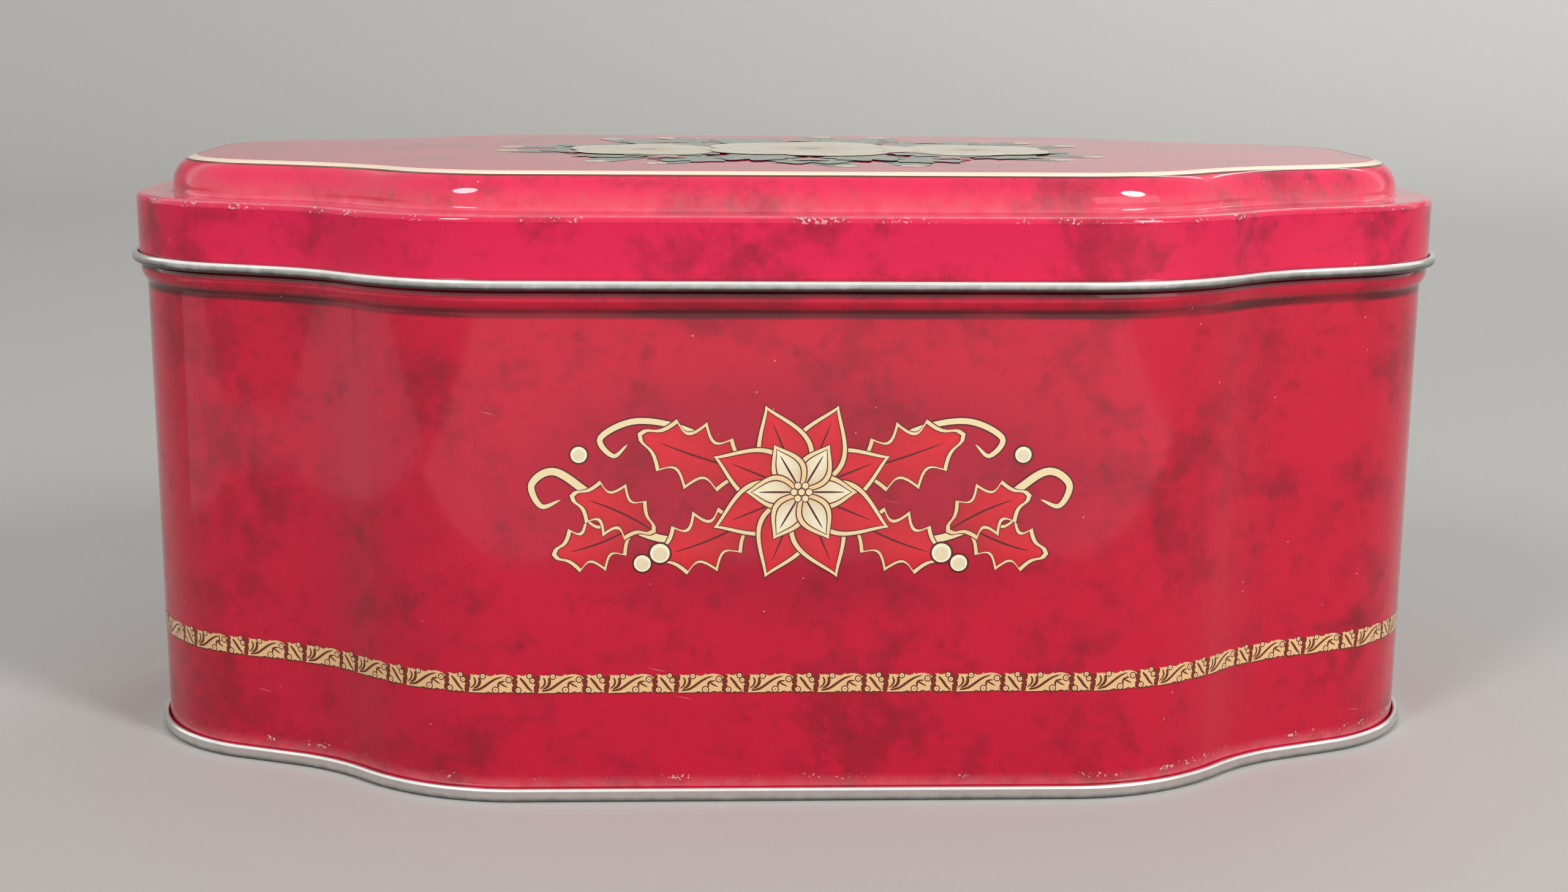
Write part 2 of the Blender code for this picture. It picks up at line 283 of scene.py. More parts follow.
class Sheet:
    """A sheet of tinplate: its section is drawn at mid back, then carried round the plan."""

    def __init__(self, shape, offset, height, start_x=0.0):
        self.bm = bmesh.new()
        self.shape = shape
        self.start_x = start_x
        self.tip = self.bm.verts.new(self.place(offset, height))

    def place(self, offset, height):
        """A point of the section, offset out from the wall's outer face."""
        return Vector((self.start_x, self.shape.depth / 2 + offset, height))

    def line(self, offset, height, held=True):
        """Draws the section straight on. Where it is held, a point near each end keeps it flat."""
        start, end = self.tip.co.copy(), self.place(offset, height)
        near = (end - start).normalized() * FLAT_MARGIN
        stops = [end]
        if held and (end - start).length > 3 * FLAT_MARGIN:
            stops = [start + near, end - near, end]
        for stop in stops:
            self.tip = bmesh.ops.extrude_vert_indiv(self.bm, verts=[self.tip])["verts"][0]
            self.tip.co = stop

    def bend(self, offset, height, turn, step=SECTION_STEP):
        """Draws the section on round a centre, anticlockwise with the outside to the right."""
        self.tip = bmesh.ops.spin(
            self.bm,
            geom=[self.tip],
            cent=self.place(offset, height),
            axis=(1, 0, 0),
            angle=turn,
            steps=math.ceil(abs(turn) / step),
            use_duplicate=False,
        )["geom_last"][0]

    def carry(self, stretches):
        """Carries the section round the plan, and merges it with its start where they meet."""
        run = list(self.bm.edges)
        point, heading = self.place(0, 0), math.pi
        for radius, amount in stretches:
            if radius:
                centre = bend_centre(point, heading, radius, amount)
                run = spun(self.bm, run, centre, amount, PLAN_STEP)
            else:
                near = FLAT_MARGIN if amount > MIN_FLAT else 0
                for part in (near, amount - 2 * near, near) if near else (amount,):
                    run = drawn_out(self.bm, run, advance(Vector(), heading, 0, part)[0])
            point, heading = advance(point, heading, radius, amount)
        bmesh.ops.remove_doubles(self.bm, verts=self.bm.verts, dist=MERGE_DISTANCE)

    def close_panel(self, height):
        """Closes the innermost ring, which lies flat, with a panel at its height."""
        rim = [
            edge
            for edge in self.bm.edges
            if edge.is_boundary and all(abs(v.co.z - height) < MERGE_DISTANCE for v in edge.verts)
        ]
        bmesh.ops.edgeloop_fill(self.bm, edges=rim)

    def face_out(self):
        """Turns the faces outwards."""
        bmesh.ops.recalc_face_normals(self.bm, faces=self.bm.faces)
        self.bm.normal_update()
        widest = max(self.bm.faces, key=lambda face: face.calc_center_median().length)
        middle = widest.calc_center_median()
        if widest.normal.dot(Vector((middle.x, middle.y, 0))) < 0:
            bmesh.ops.reverse_faces(self.bm, faces=self.bm.faces)


def edges_of(made):
    """The edges of an extrusion that join its new vertices."""
    vertices = {part for part in made if isinstance(part, bmesh.types.BMVert)}
    return [
        part
        for part in made
        if isinstance(part, bmesh.types.BMEdge) and set(part.verts) <= vertices
    ]


def spun(bm, run, centre, turn, step, axis=(0, 0, 1)):
    """Carries edges round an axis, and returns them at the end of the turn."""
    made = bmesh.ops.spin(
        bm,
        geom=run,
        cent=centre,
        axis=axis,
        angle=turn,
        steps=math.ceil(abs(turn) / step),
        use_duplicate=False,
    )
    return edges_of(made["geom_last"])


def drawn_out(bm, run, step):
    """Carries edges straight on, and returns them at the end."""
    made = bmesh.ops.extrude_edge_only(bm, edges=run)["geom"]
    vertices = [part for part in made if isinstance(part, bmesh.types.BMVert)]
    bmesh.ops.translate(bm, vec=step, verts=vertices)
    return edges_of(made)


def new_object(name, data):
    """Adds an object to the scene."""
    made = bpy.data.objects.new(name, data)
    bpy.context.scene.collection.objects.link(made)
    return made


def new_mesh(name, bm):
    """Turns faces in the making into a mesh."""
    mesh = bpy.data.meshes.new(name)
    bm.to_mesh(mesh)
    bm.free()
    return mesh


def new_piece(name, bm, body, materials, thickness, offset):
    """Makes a piece of a sheet, gives it a thickness and lets it ride on a body."""
    for face in bm.faces:
        face.smooth = True
    for edge in bm.edges:
        edge.smooth = not edge.is_boundary and edge.calc_face_angle(0) < SMOOTH_ANGLE
    mesh = new_mesh(name, bm)
    for material in materials:
        mesh.materials.append(material)
    piece = new_object(name, mesh)
    solid = piece.modifiers.new("thickness", "SOLIDIFY")
    solid.thickness = thickness
    solid.offset = offset
    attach(piece, body)
    return piece


def new_pressing(name, sheet, body, outside, inside):
    """A pressing of tinplate, with a finish on each side of its sheet."""
    sheet.face_out()
    piece = new_piece(name, sheet.bm, body, [outside, inside], SHEET, 0)
    piece.modifiers["thickness"].material_offset = 1
    return piece


def new_film(name, bm, body, material):
    """A film of ink that stands out from a pressing."""
    return new_piece(name, bm, body, [material], INK_THICKNESS, 1)


def add(tree, kind, inputs=None, output=0, **settings):
    """Adds a node with its settings and its inputs' values or links, and returns an output."""
    node = tree.nodes.new("ShaderNode" + kind)
    for name, value in settings.items():
        setattr(node, name, value)
    for socket, value in (inputs or {}).items():
        if isinstance(value, bpy.types.NodeSocket):
            tree.links.new(value, node.inputs[socket])
        else:
            node.inputs[socket].default_value = value
    return node.outputs[output]


def new_material(name, ior=1.46, metallic=0.0, roughness=0.5):
    """A material with one Principled shader. A metal keeps the default IOR."""
    material = bpy.data.materials.new(name)
    material.use_nodes = True
    tree = material.node_tree
    shader = tree.nodes["Principled BSDF"]
    shader.inputs["Metallic"].default_value = metallic
    shader.inputs["Roughness"].default_value = roughness
    if not metallic:
        shader.inputs["IOR"].default_value = ior
    return material, tree, shader


# Inputs and output of a Mix node that mixes colours
MIX_A, MIX_B, MIX_OUT = 6, 7, 2

# Sizes and strengths of the marks in the print, on the bare metal and in the varnish, and of the
# painted shade in creases and under the bare metal
CLOUD = 20 * MM
RAGGED = 6 * MM
BLOT = 2.4 * MM
BLOT_PATCH = 14 * MM
SPECK_CELL = 5 * MM
SPECK_RADIUS = 0.17 * MM
SPECK_MOST = 0.7
NICK = 0.5 * MM
RUB_NEAR = 0.3 * MM
RUB_FAR = 0.6 * MM
SCRATCH_CELL = (50 * MM, 50 * MM, 2 * MM)
SCRATCH_TILT = (0, 0.22, 0)
SCRATCH_SIZE = 0.035
SCRATCH_MOST = 0.6
CREASE_SHADE_EDGE = 0.35 * MM
NOISE_MEAN = 0.5
UNDERSIDE_SHADE_MOST = 0.92
ROLLING_STRETCH = 12
VARNISH_WAVE = 24 * MM
VARNISH_PEEL = 1.3 * MM
WALL_ROUGHNESS = 0.085
LID_ROUGHNESS = 0.05

# The two noises that add up to the marbling's clouds, and the two of its blots
CLOUD_NOISES = (
    {"Scale": 1 / CLOUD, "Detail": 4, "Roughness": 0.6, "Distortion": 0.35},
    {"Scale": 1 / RAGGED, "Detail": 8, "Roughness": 0.72},
)
BLOT_NOISES = (
    {"Scale": 1 / BLOT, "Detail": 3, "Roughness": 0.55},
    {"Scale": 1 / BLOT_PATCH, "Detail": 4},
)

# The sums of such noises between which clouds, blots and nicks come in, and their most
CLOUD_RANGE = (0.94, 1.28, 0.7)
BLOT_RANGE = (1.08, 1.42, 0.45)
NICK_RANGE = (1.2, 1.26, 0.8)

# The share of the halo's reach where it starts to fade and where it ends, and its most
HALO_RANGE = (0.55, 1.15, 0.3)

# The tone of each ink, and the shade that it turns to, as colours of the box
INKS = {
    "cream_gold_ink": ("line", "gold_pale"),
    "pale_gold_ink": ("gold_pale", "gold"),
    "gold_ink": ("gold", "gold_pale"),
    "berry_ink": ("berry", "gold_pale"),
    "gap_ink": ("gap", "brown"),
    "brown_ink": ("brown", "red_dark"),
    "dark_ink": ("red_dark", "brown"),
    "scarlet_ink": ("scarlet", "crimson"),
    "cream_ink": ("cream", "petal_shade"),
    "petal_shade_ink": ("petal_shade", "brown"),
    "green_ink": ("green", "green_dark"),
    "dark_green_ink": ("green_dark", "red_dark"),
}


def paint(tree, shader, tone, layers):
    """Paints a shader: lays colours over a tone, one after another and each by its share."""
    for share, over in layers:
        laid = {0: share, MIX_A: tone, MIX_B: over}
        tone = add(tree, "Mix", laid, MIX_OUT, data_type="RGBA")
    tree.links.new(tone, shader.inputs["Base Color"])


def varnish(tree, shader, place):
    """Stoved clear varnish: it flows out glossy, with a faint peel over the panel's slow waves.

    Hands and shelves have hazed it a little on the wall, so reflections there are softer.
    """
    waves = add(tree, "TexNoise", {"Vector": place, "Scale": 1 / VARNISH_WAVE, "Detail": 0})
    peel = add(tree, "TexNoise", {"Vector": place, "Scale": 1 / VARNISH_PEEL, "Detail": 1})
    slow = add(tree, "Bump", {"Strength": 0.3, "Distance": 0.3 * MM, "Height": waves})
    fine = {"Strength": 0.08, "Distance": 0.02 * MM, "Height": peel, "Normal": slow}
    tree.links.new(add(tree, "Bump", fine), shader.inputs["Normal"])
    height = add(tree, "SeparateXYZ", {0: place}, output=2)
    hazed = {"Value": height, "From Min": HEM_BOTTOM_Z, "From Max": HEM_BOTTOM_Z + MM}
    rough = add(tree, "MapRange", {**hazed, "To Min": WALL_ROUGHNESS, "To Max": LID_ROUGHNESS})
    smears = add(tree, "TexNoise", {"Vector": place, "Scale": 1 / RAGGED, "Detail": 4})
    uneven = add(tree, "MapRange", {"Value": smears, "To Min": 0.5, "To Max": 1.5})
    rough = add(tree, "Math", {0: rough, 1: uneven}, operation="MULTIPLY")
    tree.links.new(rough, shader.inputs["Roughness"])


def painted_crease_shade(tree, place, bands):
    """Painted shade that darkens a crease in patches, as a share: each band is low, high and its
    most.
    """
    height = add(tree, "SeparateXYZ", {0: place}, output=2)
    patchy = add(tree, "TexNoise", {"Vector": place, "Scale": 1 / CLOUD, "Detail": 5})
    total = None
    for low, high, most in bands:
        foot = {"Value": height, "From Min": low - CREASE_SHADE_EDGE, "From Max": low + CREASE_SHADE_EDGE}
        rise = add(tree, "MapRange", foot, interpolation_type="SMOOTHSTEP")
        head = {"Value": height, "From Min": high + CREASE_SHADE_EDGE, "From Max": high - CREASE_SHADE_EDGE}
        fall = add(tree, "MapRange", head, interpolation_type="SMOOTHSTEP")
        crease = add(tree, "Math", {0: rise, 1: fall}, operation="MULTIPLY")
        crease = add(tree, "Math", {0: crease, 1: most / NOISE_MEAN}, operation="MULTIPLY")
        crease = add(tree, "Math", {0: crease, 1: patchy}, operation="MULTIPLY", use_clamp=True)
        joined = {0: total, 1: crease}
        total = add(tree, "Math", joined, operation="MAXIMUM") if total else crease
    return total


def rubbed(tree, place, edge):
    """Tiny pale nicks and dust that gather along a pressed edge, as a share round its height."""
    height = add(tree, "SeparateXYZ", {0: place}, output=2)
    away = add(tree, "Math", {0: height, 1: edge}, operation="SUBTRACT")
    away = add(tree, "Math", {0: away}, operation="ABSOLUTE")
    near = add(tree, "MapRange", {"Value": away, "From Min": RUB_FAR, "From Max": RUB_NEAR})
    fine = add(tree, "TexNoise", {"Vector": place, "Scale": 1 / NICK, "Detail": 1})
    rare = add(tree, "TexNoise", {"Vector": place, "Scale": 1 / RAGGED, "Detail": 2})
    both = add(tree, "Math", {0: fine, 1: rare}, operation="ADD")
    low, high, most = NICK_RANGE
    worn = {"Value": both, "From Min": low, "From Max": high, "To Max": most}
    nicks = add(tree, "MapRange", worn)
    return add(tree, "Math", {0: nicks, 1: near}, operation="MULTIPLY")


def scratches(tree, place):
    """A few hairline scratches through the varnish, some millimetres long, as a share."""
    laid = {"Vector": place, "Rotation": SCRATCH_TILT, "Scale": SCRATCH_CELL}
    along = add(tree, "Mapping", laid, vector_type="TEXTURE")
    away = add(tree, "TexVoronoi", {"Vector": along, "Scale": 1})
    faded = {"Value": away, "From Min": SCRATCH_SIZE, "From Max": 0, "To Max": SCRATCH_MOST}
    return add(tree, "MapRange", faded)


def settled(tree, place, low, reach, most):
    """Dust that settles on a ledge and fades up from it, as a share."""
    height = add(tree, "SeparateXYZ", {0: place}, output=2)
    fade = {"Value": height, "From Min": low, "From Max": low + reach, "To Min": 1, "To Max": 0}
    share = add(tree, "MapRange", fade, interpolation_type="SMOOTHSTEP")
    above = add(tree, "Math", {0: height, 1: low}, operation="GREATER_THAN")
    share = add(tree, "Math", {0: share, 1: above}, operation="MULTIPLY")
    uneven = add(tree, "TexNoise", {"Vector": place, "Scale": 1 / BLOT, "Detail": 5})
    share = add(tree, "Math", {0: share, 1: uneven}, operation="MULTIPLY")
    return add(tree, "Math", {0: share, 1: most}, operation="MULTIPLY")


def marbling(tree, place, noises, low, high, most):
    """Where two noises add up to much, as a share."""
    fields = [add(tree, "TexNoise", {"Vector": place, **noise}) for noise in noises]
    both = add(tree, "Math", dict(enumerate(fields)), operation="ADD")
    found = {"Value": both, "From Min": low, "From Max": high, "To Max": most}
    return add(tree, "MapRange", found, interpolation_type="SMOOTHSTEP")


def halo_round(tree, place, middle, reach):
    """A soft dark oval behind an ornament, as a share."""
    centred = add(tree, "VectorMath", {0: place, 1: middle}, operation="SUBTRACT")
    near = add(tree, "VectorMath", {0: centred, 1: reach}, operation="DIVIDE")
    away = add(tree, "VectorMath", {0: near}, output=1, operation="LENGTH")
    inner, outer, most = HALO_RANGE
    shaded = {"Value": away, "From Min": inner, "From Max": outer, "To Min": most, "To Max": 0}
    return add(tree, "MapRange", shaded, interpolation_type="SMOOTHSTEP")


def specks(tree, place):
    """Round specks of dust here and there, as a share."""
    cells = add(tree, "TexVoronoi", {"Vector": place, "Scale": 1 / SPECK_CELL})
    size = SPECK_RADIUS / SPECK_CELL
    speck = {"Value": cells, "From Min": size, "From Max": size / 2, "To Max": SPECK_MOST}
    return add(tree, "MapRange", speck)


def marbled_print(name, colours, ground, creases, edge, ledge, halo=None, scratched=False):
    """Lithographed tinplate: marbled red ink under stoved varnish, so clouds show in a gloss."""
    material, tree, shader = new_material(name)
    place = add(tree, "TexCoord", output="Object")
    layers = [
        (marbling(tree, place, CLOUD_NOISES, *CLOUD_RANGE), colours.red_deep),
        (marbling(tree, place, BLOT_NOISES, *BLOT_RANGE), colours.red_dark),
    ]
    if halo:
        layers.append((halo_round(tree, place, *halo), colours.red_dark))
    # Painted shade: the creases are darkened towards dark red
    layers.append((painted_crease_shade(tree, place, creases), colours.red_dark))
    layers.append((specks(tree, place), colours.dust))
    if scratched:
        layers.append((scratches(tree, place), colours.dust))
    layers.append((settled(tree, place, *ledge), colours.dust))
    layers.append((rubbed(tree, place, edge), colours.dust))
    paint(tree, shader, ground, layers)
    varnish(tree, shader, place)
    return material


def tinplate(name, colours, grain, dull, rough, undersides=()):
    """Tin-coated steel strip: grey metal, slightly mottled, with a faint rolling grain."""
    if name in bpy.data.materials:
        return bpy.data.materials[name]
    material, tree, shader = new_material(name, metallic=1.0)
    place = add(tree, "TexCoord", output="Object")
    mottle = add(tree, "TexNoise", {"Vector": place, "Scale": 1 / grain, "Detail": 4})
    along = add(tree, "Mapping", {"Vector": place, "Scale": (1, 1, ROLLING_STRETCH)})
    lines = add(tree, "TexNoise", {"Vector": along, "Scale": 1 / (2 * grain), "Detail": 3})
    darker = [dull * value for value in colours.tinplate[:3]] + [1]
    layers = [(mottle, darker)]
    height = add(tree, "SeparateXYZ", {0: place}, output=2)
    # Painted shade: each underside darkens most at its low height and fades out towards its high
    # one
    for low, high in undersides:
        spread = add(tree, "Math", {0: mottle, 1: 0.4 * (high - low)}, operation="MULTIPLY")
        level = add(tree, "Math", {0: height, 1: spread}, operation="SUBTRACT")
        heights = {"Value": level, "From Min": low, "From Max": high}
        fade = {**heights, "To Min": UNDERSIDE_SHADE_MOST, "To Max": 0}
        above = add(tree, "Math", {0: height, 1: low - MM}, operation="GREATER_THAN")
        share = add(tree, "MapRange", fade, interpolation_type="SMOOTHSTEP")
        share = add(tree, "Math", {0: share, 1: above}, operation="MULTIPLY")
        layers.append((share, colours.underside_shade))
    paint(tree, shader, colours.tinplate, layers)
    uneven = add(tree, "MapRange", {"Value": lines, "To Min": rough[0], "To Max": rough[1]})
    tree.links.new(uneven, shader.inputs["Roughness"])
    bump = add(tree, "Bump", {"Strength": 0.12, "Distance": 0.02 * MM, "Height": lines})
    tree.links.new(bump, shader.inputs["Normal"])
    return material


def bare_tinplate(colours):
    """Bright tinplate at the trim edges: scuffed a little, and darkened underneath with painted
    shade.
    """
    # Painted shade on the lower part of the base's seam and of the lid's hem
    undersides = [(-0.3 * MM, 0.95 * MM), (HEM_BOTTOM_Z + 0.1 * MM, HEM_BOTTOM_Z + 1.1 * MM)]
    looks = {"grain": 2 * MM, "dull": 0.8, "rough": (0.16, 0.32)}
    return tinplate("trim_tinplate", colours, **looks, undersides=undersides)


def lacquered_tinplate(colours):
    """The inside of the box: tinplate under thin clear lacquer, duller than bare metal."""
    looks = {"grain": 8 * MM, "dull": 0.55, "rough": (0.30, 0.42)}
    return tinplate("lacquered_tinplate", colours, **looks)


def ink(name, colours):
    """Printing ink under the varnish: its tone turns to its shade where the drawing says so."""
    if name in bpy.data.materials:
        return bpy.data.materials[name]
    tone, shade = [getattr(colours, colour_name) for colour_name in INKS[name]]
    material, tree, shader = new_material(name)
    place = add(tree, "TexCoord", output="Object")
    drawn = add(tree, "Attribute", output="Fac", attribute_name="shade")
    mottle = add(tree, "TexNoise", {"Vector": place, "Scale": 1 / MM, "Detail": 3})
    uneven = add(tree, "MapRange", {"Value": mottle, "To Min": -0.12, "To Max": 0.12})
    share = add(tree, "Math", {0: drawn, 1: uneven}, operation="ADD", use_clamp=True)
    paint(tree, shader, tone, [(share, shade)])
    varnish(tree, shader, place)
    return material


class TIN_OT_wall(bpy.types.Operator):
    """Make the printed wall, with its stop bead, rolled mouth and lock seam"""

    bl_idname = "tin.wall"
    bl_label = "Body wall"

    butt_gap = 0.3 * MM
    bead_under_hem = 1.15 * MM
    fold_over_base = 0.7 * MM
    fold_under_bead = 1.2 * MM
    fold_run_in = 2.3 * MM
    fold_near = 0.5 * MM
    fold_far = 1.2 * MM
    fold_short = 0.5 * MM
    under_layers = 3
    mouth_turn = math.radians(300)
    bead_crest_share = 0.6
    halo_reach = (50 * MM, 12 * MM, 21 * MM)

    def execute(self, context):
        shape, colours = context.scene.tin_shape, context.scene.tin_colours
        bead_z = HEM_BOTTOM_Z - self.bead_under_hem
        bead_low, bead_high = bead_z - shape.bead_half_height, bead_z + shape.bead_half_height
        bead_angle = 2 * math.atan(shape.bead_proud / shape.bead_half_height)
        bead_radii = shape.bead_half_height / math.sin(bead_angle)
        crest_radius = self.bead_crest_share * bead_radii
        foot_radius = bead_radii - crest_radius
        fold_low = shape.countersink + SHEET + self.fold_near + self.fold_over_base
        fold_high = bead_low - self.fold_under_bead
        rows = (fold_low + self.fold_run_in, fold_high - self.fold_run_in)
        hook_low = HALF_SHEET + LAP_PITCH + LAP_PITCH
        hook_high = shape.seam_height - HALF_SHEET - LAP_PITCH

        sheet = Sheet(shape, BODY_HOOK_LAYER, hook_high, start_x=-self.butt_gap / 2)
        sheet.line(BODY_HOOK_LAYER, hook_low)
        sheet.bend(BASE_HOOK_LAYER, hook_low, -math.pi)
        sheet.line(WALL_LAYER, fold_low)
        for height in (*rows, fold_high):
            sheet.line(WALL_LAYER, height, held=False)
        sheet.line(WALL_LAYER, bead_low)
        sheet.bend(WALL_LAYER + foot_radius, bead_low, -bead_angle)
        sheet.bend(WALL_LAYER + shape.bead_proud - crest_radius, bead_z, 2 * bead_angle)
        sheet.bend(WALL_LAYER + foot_radius, bead_high, -bead_angle)
        curl_z = MOUTH_Z - HALF_SHEET - shape.mouth_curl_radius
        sheet.line(WALL_LAYER, curl_z)
        sheet.bend(WALL_LAYER - shape.mouth_curl_radius, curl_z, self.mouth_turn)
        sheet.carry(self.strip_route(shape))
        self.fold_lock(sheet, rows)
        settings = context.scene.tin_print
        middle = (settings.sprig_x, -shape.depth / 2, settings.sprig_z)
        # Painted shade between the hem and the bead, and in the crease below the bead
        creases = [
            (HEM_BOTTOM_Z - 0.9 * MM, HEM_BOTTOM_Z + 0.6 * MM, 0.85),
            (bead_low - 0.5 * MM, bead_low + 0.9 * MM, 0.9),
        ]
        halo = (middle, self.halo_reach)
        edge, ledge = shape.seam_height + 1.5 * MM, (shape.seam_height, 2.2 * MM, 0.28)
        outside = marbled_print(
            "marbled_wall_print", colours, colours.red, creases, edge, ledge, halo, scratched=True
        )
        inside = lacquered_tinplate(colours)
        wall = new_pressing("printed_wall", sheet, BODY, outside, inside)
        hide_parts("body_wall")
        return {"FINISHED"}

    def strip_route(self, shape):
        """The plan from one edge of the strip to the other, which butt at mid back."""
        route = whole_route(shape)
        half_back = route[0][1]
        far = shape.lock_half_width + self.fold_far
        near = shape.lock_half_width + self.fold_near
        first = (0, half_back - self.butt_gap / 2)
        last = [(0, half_back - far), (0, far - near), (0, near - self.butt_gap / 2)]
        return [first, *route[1:-1], *last]

    def fold_lock(self, sheet, rows):
        """Steps the strip's last edge inwards and folds both edges into each other."""
        shape, bm = sheet.shape, sheet.bm
        near = shape.lock_half_width + self.fold_near
        edge_x = self.butt_gap / 2
        back = shape.depth / 2 + WALL_LAYER
        low, high = rows[0] - MERGE_DISTANCE, rows[1] + MERGE_DISTANCE
        between = [v for v in bm.verts if v.co.y > 0 and low < v.co.z < high]
        first, last = edge_x - MERGE_DISTANCE, near + MERGE_DISTANCE
        under = [v for v in between if first < v.co.x < last]
        bmesh.ops.translate(bm, vec=(0, -self.under_layers * LAP_PITCH, 0), verts=under)
        returned = 2 * shape.lock_half_width - self.fold_short
        for side in (-1, 1):
            column = [v for v in between if abs(v.co.x - side * edge_x) < MERGE_DISTANCE]
            run = [edge for edge in bm.edges if set(edge.verts) == set(column)]
            layer = 0 if side < 0 else self.under_layers
            fold_x = -side * shape.lock_half_width
            axis = Vector((fold_x, back - (layer - side) * LAP_PITCH, 0))
            run = drawn_out(bm, run, Vector((fold_x - side * edge_x, 0, 0)))
            run = spun(bm, run, axis, -math.pi, SECTION_STEP * 2)
            drawn_out(bm, run, Vector((side * returned, 0, 0)))


class TIN_OT_base(bpy.types.Operator):
    """Make the bare base plate, with its double seam and sunk panel"""

    bl_idname = "tin.base"
    bl_label = "Base plate"

    seam_corner = 2 * LAP_PITCH
    chuck_corner = 0.45 * MM
    panel_edge_radius = 0.9 * MM
    step_inset = -9 * MM
    step_height = 0.8 * MM
    step_angle = math.radians(45)

    def execute(self, context):
        shape, colours = context.scene.tin_shape, context.scene.tin_colours
        hook_low = HALF_SHEET + 2 * LAP_PITCH
        hook_high = shape.seam_height - HALF_SHEET - LAP_PITCH
        corner, edge = self.seam_corner, self.panel_edge_radius
        low = HALF_SHEET + corner
        panel_z = shape.countersink + HALF_SHEET
        step_radius = self.step_height / (2 - 2 * math.cos(self.step_angle))
        step_width = 2 * step_radius * math.sin(self.step_angle)
        top_z = panel_z + self.step_height
        sheet = Sheet(shape, BASE_HOOK_LAYER, hook_low)
        sheet.line(BASE_HOOK_LAYER, hook_high)
        sheet.bend(BODY_HOOK_LAYER, hook_high, -math.pi)
        sheet.line(BASE_OUTER_LAYER, low)
        sheet.bend(BASE_OUTER_LAYER - corner, low, -RIGHT_ANGLE)
        inner = self.chuck_corner
        sheet.line(CHUCK_LAYER + inner, HALF_SHEET)
        sheet.bend(CHUCK_LAYER + inner, HALF_SHEET + inner, -RIGHT_ANGLE)
        sheet.line(CHUCK_LAYER, panel_z - edge)
        sheet.bend(CHUCK_LAYER - edge, panel_z - edge, RIGHT_ANGLE)
        sheet.line(self.step_inset, panel_z)
        sheet.bend(self.step_inset, panel_z + step_radius, -self.step_angle)
        sheet.bend(self.step_inset - step_width, top_z - step_radius, self.step_angle)
        sheet.line(self.step_inset - step_width - FLAT_MARGIN, top_z)
        sheet.carry(whole_route(shape))
        sheet.close_panel(top_z)
        outside, inside = bare_tinplate(colours), lacquered_tinplate(colours)
        base = new_pressing("seamed_base", sheet, BODY, outside, inside)
        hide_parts("base_plate")
        return {"FINISHED"}


